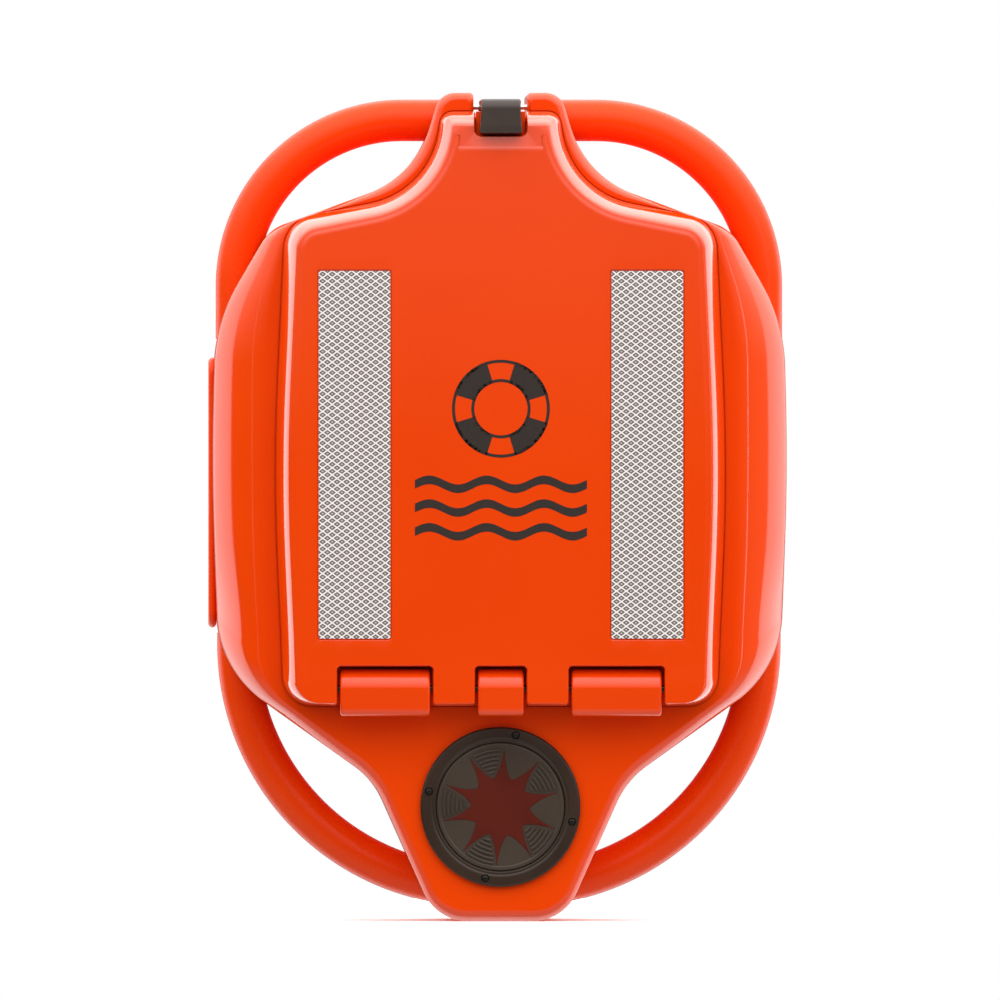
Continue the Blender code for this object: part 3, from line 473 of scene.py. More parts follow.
def plate(name, points, y_front, y_back, material, bevel=0.0, segments=2):
    """Return a flat piece with an outline in X and Z, between two planes Y."""
    bm = bmesh.new()
    loops = [loop(bm, level(points, y)) for y in (y_front, y_back)]
    bridge(bm, *loops)
    fill(bm, loops[0])
    fill(bm, loops[1])
    return add_bevel(new_object(name, bm, material), bevel, segments)


def block(name, low, high, material, bevel, segments=3):
    """Return a box between two corners with rounded edges."""
    points = [(low[1], low[2]), (high[1], low[2]), (high[1], high[2]), (low[1], high[2])]
    return prism(name, points, low[0], high[0], material, bevel, segments)


def add_bevel(obj, width, segments=3, angle=40):
    """Round the sharp edges of an object, unless the width is zero."""
    if not width:
        return obj
    obj.modifiers.clear()
    bevel = obj.modifiers.new("round", "BEVEL")
    bevel.width = width
    bevel.segments = segments
    bevel.limit_method = "ANGLE"
    bevel.angle_limit = radians(angle)
    bevel.use_clamp_overlap = False
    bake(obj)
    shade(obj, 50)
    return obj


def tube(name, path, radius, material, sides=40):
    """Return a round tube along a list of points."""
    points = [Vector(point) for point in path]
    rings = []
    normal = None
    for index, point in enumerate(points):
        ahead = points[min(index + 1, len(points) - 1)] - points[max(index - 1, 0)]
        ahead.normalize()
        if normal is None:
            normal = ahead.orthogonal().normalized()
        normal = (normal - ahead * normal.dot(ahead)).normalized()
        across = ahead.cross(normal)
        rings.append([point + (normal * cos(angle) + across * sin(angle)) * radius
                      for angle in around(sides)])
    return loft(name, rings, material)


def join(name, *objs):
    """Join objects into the first one."""
    with bpy.context.temp_override(active_object=objs[0], object=objs[0], selected_objects=list(objs),
                                   selected_editable_objects=list(objs)):
        bpy.ops.object.join()
    objs[0].name = name
    objs[0].data.name = name
    return objs[0]


def piece(obj, body, slot, *nodes):
    """Say what a piece moves with and which nodes it stands for; the finish slot is not used."""
    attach(obj, body)
    if nodes:
        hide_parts(*nodes)
    return obj


# ---- materials

class Network:
    """A node tree with short ways to add nodes and to connect them."""

    def __init__(self, tree):
        self.tree = tree

    def add(self, kind, inputs=None, **settings):
        """Add a node, then connect or set its inputs."""
        node = self.tree.nodes.new(kind)
        for key, value in settings.items():
            setattr(node, key, value)
        for key, value in (inputs or {}).items():
            self.wire(value, node.inputs[key])
        return node

    def wire(self, source, target):
        """Connect an output, or set a value, on an input."""
        if isinstance(source, bpy.types.NodeSocket):
            self.tree.links.new(source, target)
        else:
            target.default_value = source

    def math(self, operation, first, second=0.0):
        """Return the result of a calculation."""
        return self.add("ShaderNodeMath", {0: first, 1: second}, operation=operation).outputs[0]

    def remap(self, value, **limits):
        """Return a value moved from one range to another."""
        limits = {socket.replace("_", " "): limit for socket, limit in limits.items()}
        return self.add("ShaderNodeMapRange", {"Value": value, **limits}).outputs["Result"]

    def ramp(self, value, stops):
        """Return a colour looked up along a ramp of (position, colour) stops."""
        node = self.add("ShaderNodeValToRGB", {"Fac": value})
        elements = node.color_ramp.elements
        while len(elements) < len(stops):
            elements.new(0.5)
        for element, (position, colour) in zip(elements, stops):
            element.position = position
            element.color = (*colour, 1.0)
        return node.outputs["Color"]


class Finish(Network):
    """A Principled material with a small network of its own, in the object's coordinates."""

    def __init__(self, name, roughness, metallic=0.0, **sockets):
        self.material = bpy.data.materials.new(name)
        self.material.use_nodes = True
        super().__init__(self.material.node_tree)
        self.shader = self.tree.nodes["Principled BSDF"]
        for socket, value in {"Roughness": roughness, "Metallic": metallic, **sockets}.items():
            self.shader.inputs[socket.replace("_", " ")].default_value = value
        self.place = self.add("ShaderNodeTexCoord").outputs["Object"]

    def noise(self, scale, detail=3.0, stretch=(1.0, 1.0, 1.0)):
        """Return a noise pattern from 0 to 1."""
        mapping = self.add("ShaderNodeMapping", {"Vector": self.place, "Scale": stretch})
        node = self.add("ShaderNodeTexNoise", {"Vector": mapping.outputs["Vector"], "Scale": scale,
                                               "Detail": detail})
        return node.outputs["Fac"]

    def cells(self, scale):
        """Return the distance to the nearest of many scattered points."""
        node = self.add("ShaderNodeTexVoronoi", {"Vector": self.place, "Scale": scale})
        return node.outputs["Distance"]

    def tint(self, pattern, *stops):
        """Colour the base along a ramp of (position, colour) stops, looked up by a pattern."""
        self.wire(self.ramp(pattern, stops), self.shader.inputs["Base Color"])

    def vary_roughness(self, value, low, high):
        """Let a pattern move the roughness between two values."""
        self.wire(self.remap(value, To_Min=low, To_Max=high), self.shader.inputs["Roughness"])

    def relief(self, height, strength, distance):
        """Add a bump from a height pattern, on top of the one before."""
        normal = self.shader.inputs["Normal"]
        inputs = {"Strength": strength, "Distance": distance, "Height": height}
        if normal.is_linked:
            inputs["Normal"] = normal.links[0].from_socket
        self.wire(self.add("ShaderNodeBump", inputs).outputs["Normal"], normal)

    def grain(self, scale, detail, strength, distance):
        """Add a bump from a noise pattern."""
        self.relief(self.noise(scale, detail), strength, distance)


def gloss_plastic(name, deep, pale, roughness=0.10, polish=0.0):
    """Return glossy moulded plastic with a slight orange-peel surface and soft colour drift."""
    finish = Finish(name, roughness, IOR=1.5, Coat_Weight=polish, Coat_Roughness=0.06)
    drift = finish.noise(9.0, 2.0)
    finish.tint(drift, (0.30, deep), (0.70, pale))
    finish.vary_roughness(finish.noise(60.0, 4.0), roughness * 0.8, roughness * 1.3)
    finish.grain(90.0, 2.0, 0.05, 0.0003)
    finish.grain(1500.0, 2.0, 0.03, 0.00003)
    return finish.material


def satin_plastic(name, deep, pale, roughness=0.42, grain=0.25, shine=0.5):
    """Return satin plastic with a fine spark-eroded grain."""
    finish = Finish(name, roughness, IOR=1.48, Specular_IOR_Level=shine)
    finish.tint(finish.noise(30.0, 4.0), (0.3, deep), (0.7, pale))
    finish.vary_roughness(finish.noise(250.0, 3.0), roughness * 0.85, roughness * 1.2)
    finish.grain(2200.0, 3.0, grain, 0.00006)
    return finish.material


def brushed_steel(name, shade_low, shade_high, roughness=0.28):
    """Return turned steel with fine lines round it."""
    finish = Finish(name, roughness, 1.0)
    lines = finish.noise(900.0, 2.0, (8.0, 1.0, 1.0))
    finish.tint(lines, (0.3, shade_low), (0.7, shade_high))
    finish.vary_roughness(finish.noise(400.0, 3.0), roughness * 0.8, roughness * 1.3)
    finish.relief(lines, 0.12, 0.00003)
    return finish.material


def soft_rubber(name, deep, pale):
    """Return matt rubber with a dusty bloom."""
    finish = Finish(name, 0.7, IOR=1.5, Sheen_Weight=0.15)
    finish.tint(finish.noise(120.0, 4.0), (0.35, deep), (0.75, pale))
    finish.grain(1800.0, 3.0, 0.2, 0.00008)
    return finish.material


def cell_foam(name, deep, pale, scale=900.0):
    """Return closed-cell foam with small open cells where it was cut."""
    finish = Finish(name, 0.92, IOR=1.4, Sheen_Weight=0.2)
    cells = finish.cells(scale)
    # The tone runs darker towards the pits of the open cells: painted shade in the cells, over a random
    # noise tone.
    tone = finish.math("MULTIPLY", finish.noise(90.0, 4.0), finish.math("ADD", cells, 0.6))
    finish.tint(tone, (0.15, deep), (0.75, pale))
    finish.relief(cells, 0.6, 0.0004)
    finish.grain(260.0, 3.0, 0.3, 0.0006)
    return finish.material


def clear_plastic(name):
    """Return clear polycarbonate with faint flow marks."""
    finish = Finish(name, 0.04, IOR=1.58, Transmission_Weight=0.95)
    finish.tint(finish.noise(20.0, 2.0), (0.2, (0.93, 0.96, 0.97)), (0.8, (0.98, 0.99, 1.0)))
    finish.grain(120.0, 2.0, 0.03, 0.0003)
    return finish.material


def reflective_tape(name, cell_width, cell_height):
    """Return prismatic tape: a lattice of pale seams round small grey diamonds."""
    finish = Finish(name, 0.30, IOR=1.5, Coat_Weight=0.35, Coat_Roughness=0.08)
    split = finish.add("ShaderNodeSeparateXYZ", {0: finish.place})
    across = finish.math("DIVIDE", split.outputs["X"], cell_width)
    along = finish.math("DIVIDE", split.outputs["Z"], cell_height)
    edges = []
    for operation in ("ADD", "SUBTRACT"):
        diagonal = finish.math("ADD", finish.math(operation, across, along), 100.0)    # kept above zero
        middle = finish.math("SUBTRACT", finish.math("FRACT", diagonal), 0.5)
        edges.append(finish.math("ABSOLUTE", middle))
    to_edge = finish.math("MULTIPLY", finish.math("MAXIMUM", *edges), 2.0)
    tone = finish.math("ADD", finish.math("MULTIPLY", finish.noise(700.0, 2.0), 0.10), to_edge)
    finish.tint(tone, (0.12, (0.66, 0.60, 0.56)), (0.34, (0.42, 0.37, 0.34)), (0.50, (0.07, 0.05, 0.05)),
                (0.74, (0.09, 0.07, 0.06)), (0.84, (0.93, 0.87, 0.84)))
    finish.relief(to_edge, 0.25, 0.0002)
    return finish.material


def circuit_board(name):
    """Return a green board with faint tracks."""
    finish = Finish(name, 0.35, IOR=1.5)
    tracks = finish.add("ShaderNodeTexBrick", {
        "Vector": finish.place, "Scale": 260.0, "Mortar Size": 0.08, "Mortar": (0.03, 0.26, 0.08, 1),
        "Color1": (0.010, 0.110, 0.030, 1), "Color2": (0.012, 0.140, 0.040, 1)})
    finish.wire(tracks.outputs["Color"], finish.shader.inputs["Base Color"])
    finish.relief(tracks.outputs["Fac"], 0.2, 0.00005)
    return finish.material


def print_ink(name):
    """Return flat dark screen ink with slight pinholes."""
    finish = Finish(name, 0.38, IOR=1.5)
    finish.tint(finish.noise(900.0, 3.0), (0.3, (0.022, 0.014, 0.010)), (0.8, (0.035, 0.022, 0.016)))
    finish.grain(1600.0, 2.0, 0.12, 0.00004)
    return finish.material


def floor_paint(name):
    """Return the pale studio floor."""
    finish = Finish(name, 0.9, Specular_IOR_Level=0.0)
    finish.tint(finish.noise(4.0, 2.0), (0.2, (0.93,) * 3), (0.8, (0.96,) * 3))
    return finish.material


ORANGE_TONES = (0.890, 0.057, 0.0006), (0.910, 0.062, 0.0009)
ORANGE = gloss_plastic("orange_gloss", *ORANGE_TONES)
LID_ORANGE = gloss_plastic("lid_orange_gloss", *ORANGE_TONES, polish=1.0)
HANDLE_ORANGE = satin_plastic("handle_orange", (0.85, 0.052, 0.0006), (0.88, 0.058, 0.0008),
                              0.26, 0.03, 0.20)
INNER_ORANGE = satin_plastic("inner_orange", (0.80, 0.060, 0.004), (0.86, 0.075, 0.006), 0.4, 0.12)
BLACK = satin_plastic("black_satin", (0.044, 0.030, 0.023), (0.060, 0.042, 0.034), 0.34, 0.15, 0.4)
PORT_GREY = satin_plastic("port_grey", (0.050, 0.034, 0.023), (0.062, 0.044, 0.031), 0.34, 0.2, 0.3)
PORT_RING = satin_plastic("port_ring_grey", (0.030, 0.016, 0.009), (0.040, 0.022, 0.013), 0.34, 0.2, 0.3)
STAR_RED = satin_plastic("star_red", (0.085, 0.008, 0.003), (0.110, 0.011, 0.004), 0.34, 0.12, 0.25)
STEEL = brushed_steel("stainless", (0.50, 0.50, 0.50), (0.64, 0.63, 0.62))
# Dark steel: the screws' own colour; on the hinge pin its darkness is painted shade, standing for the
# shade in the gaps between the knuckles.
DARK_STEEL = brushed_steel("dark_steel", (0.030, 0.028, 0.026), (0.060, 0.056, 0.052), 0.36)
RUBBER = soft_rubber("seal_rubber", (0.015, 0.015, 0.015), (0.035, 0.034, 0.033))
FOAM = cell_foam("cradle_foam", (0.022, 0.023, 0.026), (0.090, 0.092, 0.100))
WHITE_FOAM = cell_foam("buoyancy_foam", (0.60, 0.56, 0.42), (0.86, 0.82, 0.68), 500.0)
YELLOW = gloss_plastic("yellow_gloss", (0.82, 0.50, 0.015), (0.88, 0.56, 0.025), 0.24)
CLEAR = clear_plastic("clear_dome")
TAPE = reflective_tape("prismatic_tape", 0.0065, 0.00475)
BOARD = circuit_board("circuit_board")
CELL_WRAP = gloss_plastic("cell_wrap", (0.030, 0.075, 0.24), (0.045, 0.10, 0.32), 0.3)
RED = gloss_plastic("switch_red", (0.52, 0.012, 0.012), (0.62, 0.020, 0.018), 0.28)
INK = print_ink("dark_ink")
FLOOR = floor_paint("floor")


# ---- body shells

def edge_profile(tilts, steps, share_at):
    """Return a rounded edge as (share of its width, depth over its width), from the tilt along it."""
    profile = [(0.0, 0.0)]
    for step in range(1, steps + 1):
        share = share_at(step / steps)
        middle = (share + profile[-1][0]) / 2
        for (s0, tilt0), (s1, tilt1) in zip(tilts, tilts[1:]):
            if s0 <= middle <= s1:
                tilt = tilt0 + (tilt1 - tilt0) * (middle - s0) / (s1 - s0)
        rise = (share - profile[-1][0]) * sin(radians(tilt)) / cos(radians(tilt))
        profile.append((share, profile[-1][1] + rise))
    return profile


def edge_widths(face, rim):
    """Return the distance from each point of a face's outline to its point on the rim."""
    return [hypot(rx - fx, rz - fz) for (fx, fz), (rx, rz) in zip(face, rim)]


def ring_between(face, rim, share, depths):
    """Return a ring part of the way from a face's outline to its rim, with a Y for each point."""
    return [Vector((fx + (rx - fx) * share, y, fz + (rz - fz) * share))
            for (fx, fz), (rx, rz), y in zip(face, rim, depths)]


def tilted_points(face, rim, y_face, profile):
    """Return rings from a flat face round an edge with a given profile."""
    widths = edge_widths(face, rim)
    return [ring_between(face, rim, share, [y_face + width * depth for width in widths])
            for share, depth in profile]


def dome_points(face, rim, y_face, y_rim, steps, edge_shape):
    """Return rings from a flat face round its edge, ending where its straight wall begins."""
    side = 1.0 if y_rim > y_face else -1.0
    deepest = abs(y_rim - y_face) - RIM_WALL
    depths = [min(width * edge_shape, deepest) for width in edge_widths(face, rim)]
    rings = []
    for step in range(steps + 1):
        angle = pi / 2 * step / steps
        rings.append(ring_between(face, rim, sin(angle),
                                  [y_face + side * depth * (1 - cos(angle)) for depth in depths]))
    return rings


def shell_surfaces(bm, outer_rings, inner_face, y_inside, y_rim, steps, edge_shape):
    """Add a shell's two surfaces and the rim between them, and return the loops of its faces."""
    side = 1.0 if y_rim > y_inside else -1.0
    outer = [loop(bm, ring) for ring in outer_rings]
    outer.append(loop(bm, level(outline(BODY_OUTLINE), y_rim - side * SEAM)))
    outer.append(loop(bm, level(outline(inset(BODY_OUTLINE, SEAM)), y_rim)))
    inner_rim = outline(inset(BODY_OUTLINE, SHELL_WALL))
    inner = [loop(bm, ring)
             for ring in dome_points(inner_face, inner_rim, y_inside, y_rim, steps, edge_shape)]
    inner.append(loop(bm, level(inner_rim, y_rim)))
    bridge(bm, *outer, *inner[::-1])
    return outer[0], inner[0]


def tub_outline(grow=0.0):
    """Return the inside outline of the storage tub, grown outwards."""
    low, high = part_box("storage_tub")
    corners = rounded_rectangle(high.x - TUB_LIP, low.z + TUB_LIP, high.z - TUB_LIP, 0.018)
    return outline(inset(corners, -grow))


def tub_rings(*stops):
    """Return rings along the storage tub's outline, each grown by a width, in a plane Y."""
    return [level(tub_outline(grow), y) for grow, y in stops]


def handle_paths(steps):
    """Return the centre line of each handle by its name in the frame."""
    top = [(TOP_HANDLE_INNER_X, TOP_HANDLE_CENTRE[1] + TOP_HANDLE_SWEEP)]
    top += arc(TOP_HANDLE_CENTRE, TOP_HANDLE_SWEEP, pi / 2, 0.0, steps)
    top.append((TOP_HANDLE_CENTRE[0] + TOP_HANDLE_SWEEP, TOP_HANDLE_END_Z))
    side_x = BOTTOM_HANDLE_CENTRE[0] + BOTTOM_HANDLE_SWEEP
    bottom = [(side_x, BOTTOM_HANDLE_END_Z)]
    bottom += arc(BOTTOM_HANDLE_CENTRE, BOTTOM_HANDLE_SWEEP, 0.0, BOTTOM_HANDLE_END_ANGLE, steps)
    paths = {}
    for end, line in (("top", top), ("bottom", bottom)):
        for side, sign in (("right", 1.0), ("left", -1.0)):
            paths[f"handle_{end}_{side}"] = [(sign * x, Y_PARTING, z) for x, z in line]
    return paths


def handle_cutters():
    """Return the cutters for the sockets that clamp the handles."""
    return [tube(name + "_socket", path, HANDLE_RADIUS + HANDLE_FIT, ORANGE, 40)
            for name, path in handle_paths(36).items()]


def groove_cutter():
    """Return the cutter of the groove in the deck along the lid's rim."""
    start, end, depth = GROOVE
    beyond, within = (outline(inset(LID_OUTLINE, -width)) for width in (end, start))
    front, floor = Y_DECK - depth, Y_DECK + depth
    bm = bmesh.new()
    rings = [loop(bm, level(points, y)) for points, y in (
        (beyond, front), (beyond, floor), (within, floor), (within, front))]
    bridge(bm, *rings, rings[0])
    return new_object("rim_groove_cutter", bm, ORANGE)


def build_front_shell():
    """Build the front shell with its deck, horns and openings."""
    bm = bmesh.new()
    profile = edge_profile(BODY_TILT, BODY_EDGE_STEPS, lambda share: 1 - (1 - share) ** 1.2)
    rings = tilted_points(outline(DECK_OUTLINE), outline(BODY_OUTLINE), Y_DECK, profile)
    y_inside = Y_DECK + SHELL_WALL
    faces = shell_surfaces(bm, rings, outline(inset(DECK_OUTLINE, SHELL_INSET)), y_inside,
                           Y_PARTING - GAP / 2, 6, EDGE_SHAPE)
    holes = [tub_outline(TUB_HOLE_MARGIN), circle((0.0, PORT_Z), PORT_HOLE_RADIUS, 96)]
    ends = [[loop(bm, level(points, y)) for points in holes] for y in (Y_DECK, y_inside)]
    for front, back in zip(*ends):
        bridge(bm, front, back)
    for face, openings in zip(faces, ends):
        fill(bm, face, openings)
    shell = new_object("body_front", bm, ORANGE)
    low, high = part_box("latch_pin")
    bore = rod("latch_pin_bore", LATCH_BORE_RADIUS, low.x - 0.002, high.x + 0.002,
               (0, LATCH_Y, LATCH_Z), "side", ORANGE, 24)
    subtract(shell, bore, groove_cutter(), *handle_cutters())
    return piece(shell, "root", "orange_shell", "front_shell")


def build_rear_shell():
    """Build the rear shell with its flat back."""
    bm = bmesh.new()
    y_rim = Y_PARTING + GAP / 2
    back = outline(inset(BODY_OUTLINE, BACK_EDGE))
    rings = dome_points(back, outline(BODY_OUTLINE), Y_BACK, y_rim, 10, 1.0)
    inner_back = outline(inset(BODY_OUTLINE, BACK_EDGE + SHELL_INSET))
    for face in shell_surfaces(bm, rings, inner_back, Y_BACK - SHELL_WALL, y_rim, 4, 1.0):
        fill(bm, face)
    shell = new_object("body_rear", bm, ORANGE)
    subtract(shell, *handle_cutters())
    return piece(shell, "root", "orange_shell", "rear_shell")


def build_handles():
    """Build the four round grab handles."""
    for name, path in handle_paths(60).items():
        handle = tube("grab_" + name, path, HANDLE_RADIUS, HANDLE_ORANGE, 48)
        piece(handle, "root", "orange_handle", name)


def build_side_pad():
    """Build the long pad on the left side, rounded where it stands off the body."""
    low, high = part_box("side_pad")
    back, front = high.y - PAD_CORNER, low.y + PAD_CORNER
    bottom, top = low.z + PAD_CORNER, high.z - PAD_CORNER
    points = []
    for y, z, start, end in ((front, top, pi / 2, pi), (front, bottom, pi, 1.5 * pi),
                             (back, bottom, 1.5 * pi, 2 * pi), (back, top, 0, pi / 2)):
        points += arc((y, z), PAD_CORNER, start, end, 8)
    pad = prism("side_grip_pad", points, low.x, high.x - 0.0005, HANDLE_ORANGE, 0.003, 4)
    piece(pad, "root", "orange_shell", "side_pad")


# ---- lid

def lid_corners():
    """Return the lid's half outline with its notches for the latch and the body knuckles."""
    bottom = LID_OUTLINE[-1][1]
    top = LID_OUTLINE[0][1]
    notch_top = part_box("body_knuckle_right")[1].z + KNUCKLE_GAP
    low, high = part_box("body_knuckle_right")
    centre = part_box("body_knuckle_centre")[1].x + KNUCKLE_GAP
    notches = [(high.x + KNUCKLE_GAP, bottom), (high.x + KNUCKLE_GAP, notch_top),
               (low.x - KNUCKLE_GAP, notch_top), (low.x - KNUCKLE_GAP, bottom),
               (centre, bottom), (centre, notch_top)]
    half_width, notch_bottom = LATCH_NOTCH
    corners = [(0.0, notch_bottom, 0.0, 0), (half_width, notch_bottom, 0.0034, 3),
               (half_width, top, 0.0016, 3), *LID_OUTLINE[1:-1]]
    corners += [(x, z, 0.0026, 3) for x, z in notches]
    return corners + [(0.0, notch_top, 0.0, 0)]


def lid_widths(notch, side, bottom):
    """Return one width for each edge of the lid's half outline."""
    return [notch, notch] + [side] * 5 + [bottom, notch, notch, notch, bottom, notch, notch]


def plateau(offset):
    """Return the outline of the lid's flat front, grown outwards."""
    widths = [PLATEAU_TOP_INSET] + [PLATEAU_INSET] * 4 + [PLATEAU_BOTTOM_INSET]
    return outline(inset(LID_OUTLINE, [width - offset for width in widths]))


def distance_to(points, x, z):
    """Return the distance from a point to a closed outline."""
    nearest = 1.0
    for (ax, az), (bx, bz) in zip(points, points[1:] + points[:1]):
        dx, dz = bx - ax, bz - az
        share = ((x - ax) * dx + (z - az) * dz) / (dx * dx + dz * dz)
        share = min(max(share, 0.0), 1.0)
        nearest = min(nearest, hypot(x - ax - dx * share, z - az - dz * share))
    return nearest


def lid_fall(distance, z):
    """Return how far the lid's front falls back at a distance outside its flat plateau."""
    slope = PLATEAU_SLOPE * max(distance, 0.0)
    step = PLATEAU_STEP * smooth_step(distance, -PLATEAU_BLEND, PLATEAU_BLEND)
    return (slope + step) * smooth_step(z, *PLATEAU_FADE)


def strip_outline(sign, margin):
    """Return the outline of a reflective strip's recess, grown by a margin."""
    low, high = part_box("reflective_strip_right")
    middle_x, middle_z = (low.x + high.x) / 2, (low.z + high.z) / 2
    half_width = high.x - middle_x + GAP + margin
    half_height = high.z - middle_z + GAP + margin
    points = outline(rounded_rectangle(half_width, -half_height, half_height, 0.0022 + margin, 3))
    return [(x + sign * middle_x, z + middle_z) for x, z in points]


def build_lid_skin():
    """Build the lid: a flat plateau, a soft crease, a falling border and steep rounded edges."""
    bm = bmesh.new()
    corners = lid_corners()
    face = outline(inset(corners, lid_widths(NOTCH_EDGE, LID_EDGE, LID_BOTTOM_EDGE)))
    rim = outline(corners)
    flat = plateau(0.0)
    falls = [lid_fall(distance_to(flat, x, z), z) for x, z in face]
    lowest, *cut = LID_OPEN_CUT
    rim_y = [lowest + (Y_LID_RIM - lowest) * smooth_step(z, *cut) for _, z in rim]
    profile = edge_profile(LID_TILT, LID_EDGE_STEPS, lambda share: share ** 1.5)
    widths = [min(width, (y_end - 2 * SEAM - Y_LID_FRONT - fall) / profile[-1][1])
              for width, y_end, fall in zip(edge_widths(face, rim), rim_y, falls)]
    rings = [loop(bm, ring_between(face, rim, share, [Y_LID_FRONT + fall + width * depth
                                                      for fall, width in zip(falls, widths)]))
             for share, depth in profile]
    rings.append(loop(bm, [(x, y - SEAM, z) for (x, z), y in zip(rim, rim_y)]))
    wall = lid_widths(NOTCH_WALL, LID_WALL, LID_BOTTOM_WALL)
    for widths in (SEAM, wall):
        rings.append(loop(bm, [(x, y, z) for (x, z), y in zip(outline(inset(corners, widths)), rim_y)]))
    for draft, depth in LID_INSIDE:
        wall = outline(inset(corners, lid_widths(NOTCH_WALL, LID_WALL + draft, LID_BOTTOM_WALL)))
        rings.append(loop(bm, level(wall, Y_LID_FRONT + depth)))
    bridge(bm, *rings)
    fill(bm, rings[-1])
    creases = []
    for step in range(4, -5, -1):
        offset = PLATEAU_BLEND * (step / 4)
        creases.append(loop(bm, [(x, Y_LID_FRONT + lid_fall(offset, z), z) for x, z in plateau(offset)]))
    bridge(bm, *creases)
    border = outline(inset(corners, lid_widths(NOTCH_EDGE + LID_BORDER, LID_EDGE + LID_BORDER,
                                               LID_BOTTOM_EDGE + LID_BORDER)))
    support = loop(bm, [(x, Y_LID_FRONT + lid_fall(distance_to(flat, x, z), z), z) for x, z in border])
    bridge(bm, rings[0], support)
    fill(bm, support, [creases[0]])
    recess_tops = []
    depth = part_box("reflective_strip_right")[1].y + GAP
    for sign in (-1.0, 1.0):
        recess = [loop(bm, level(strip_outline(sign, margin), y)) for margin, y in (
            (0.0004, Y_LID_FRONT), (0.0001, Y_LID_FRONT + 0.0001), (0.0, Y_LID_FRONT + 0.0004),
            (0.0, depth))]
        bridge(bm, *recess)
        fill(bm, recess[-1])
        recess_tops.append(recess[0])
    fill(bm, creases[-1], recess_tops)
    skin = crown(new_object("lid_cover", bm, LID_ORANGE), 28)
    weigh = skin.modifiers.new("even_shading", "WEIGHTED_NORMAL")
    weigh.keep_sharp = True
    weigh.weight = 90
    bake(skin)
    return piece(skin, "lid", "orange_shell", "lid_skin")


def crown(obj, angle=32):
    """Curve the upper part of a piece of the lid's front slightly back."""
    curvature, start = CROWN
    bm = bmesh.new()
    bm.from_mesh(obj.data)
    for index in range(CROWN_BANDS):
        bmesh.ops.bisect_plane(bm, geom=bm.verts[:] + bm.edges[:] + bm.faces[:], dist=1e-6,
                               plane_co=(0, 0, start + index * CROWN_BAND), plane_no=(0, 0, 1))
    for vert in bm.verts:
        share = 1 - smooth_step(vert.co.y, *CROWN_FADE)
        vert.co.y += curvature * max(vert.co.z - start, 0.0) ** 2 * share
    bm.to_mesh(obj.data)
    bm.free()
    shade(obj, angle)
    return obj


def build_latch_catch():
    """Build the ledge behind the lid's notch that the latch closes over."""
    half_width = LATCH_NOTCH[0] - GAP
    bottom, top = LATCH_NOTCH[1] + GAP, LID_OUTLINE[0][1]
    points = [(-0.1635, bottom), (-0.1635, top), (Y_LID_RIM, top), (Y_LID_RIM, top - 0.0033),
              (-0.1602, top - 0.0033), (-0.1602, bottom)]
    catch = prism("latch_catch", points, -half_width, half_width, ORANGE, 0.0005, 2)
    piece(catch, "lid", "orange_shell", "latch_pocket")


def build_lid_lining():
    """Build the lid's inner panel with its stiffening ribs."""
    low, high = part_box("lid_lining")
    corners = LID_OUTLINE[:-2] + [(0.1473, low.z - 0.004, 0.006, 3), (0.0, low.z - 0.004, 0.0, 0)]
    points = outline(inset(corners, LID_WALL + 0.0005))
    panel = plate("lid_liner", points, low.y, high.y, INNER_ORANGE, 0.0006, 2)
    piece(panel, "lid", "orange_inner", "lid_lining")
    rib_y = (high.y - 0.0002, high.y + 0.0024)
    for index, x in enumerate((-0.078, -0.026, 0.026, 0.078)):
        points = outline(rounded_rectangle(0.0035, -0.072, 0.160, 0.0034, 3))
        rib = plate(f"lid_liner_rib_{index + 1}", [(px + x, z) for px, z in points], *rib_y,
                    INNER_ORANGE, 0.0008, 3)
        piece(rib, "lid", "orange_inner")


def build_lid_gasket():
    """Build the lid's bulb gasket."""
    low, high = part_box("lid_gasket")
    middle = (low.y + high.y) / 2
    half = (high.y - low.y) / 2
    rings = tub_rings(*((0.0070 + 0.0030 * cos(angle), middle + half * sin(angle))
                        for angle in around(14)))
    gasket = loft("lid_seal", rings, RUBBER, 50, True)
    piece(gasket, "lid", "seal_rubber", "lid_gasket")


def build_strips():
    """Build the two strips of prismatic tape."""
    low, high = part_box("reflective_strip_right")
    for side, sign in (("left", -1.0), ("right", 1.0)):
        points = strip_outline(sign, -3 * GAP)
        strip = plate(f"tape_strip_{side}", points, low.y, high.y, TAPE, 0.00015, 1)
        piece(crown(strip), "lid", "reflective_tape", f"reflective_strip_{side}")


def ring_sector(centre, inner, outer, start, end, steps=24):
    """Return the outline of a part of a ring."""
    return arc(centre, outer, start, end, steps) + arc(centre, inner, end, start, steps)


def wave_outline(middle_z, half_length, half_height, thickness, waves, steps=96):
    """Return the outline of a wavy band."""
    line = []
    for step in range(steps + 1):
        x = -half_length + 2 * half_length * step / steps
        line.append((x, middle_z + half_height * sin(2 * pi * waves * step / steps)))
    upper = [(x, z + thickness / 2) for x, z in line]
    return upper + [(x, z - thickness / 2) for x, z in reversed(line)]


def build_pictogram():
    """Build the printed sign on the lid: a lifebuoy over waves."""
    y_print = (Y_LID_FRONT - 0.00012, Y_LID_FRONT + 0.0001)
    centre, outer, inner, line = (0.0, 0.066), 0.0330, 0.0180, 0.0020
    prints = []
    for index in range(4):
        start = pi / 2 * index + radians(17)
        points = ring_sector(centre, inner, outer, start, start + radians(56))
        prints.append(plate(f"buoy_{index + 1}", points, *y_print, INK))
    for index, radius in enumerate((outer, inner + line)):
        points = circle(centre, radius, 96)
        hole = circle(centre, radius - line, 96)
        prints.append(flat_ring(f"buoy_line_{index + 1}", points, hole, y_print))
    for index in range(3):
        points = wave_outline(0.0150 - 0.0160 * index, 0.0580, 0.0030, 0.0058, 3)
        prints.append(plate(f"wave_{index + 1}", points, *y_print, INK))
    sign = crown(join("lid_pictogram", *prints))
    piece(sign, "lid", "black_plastic")


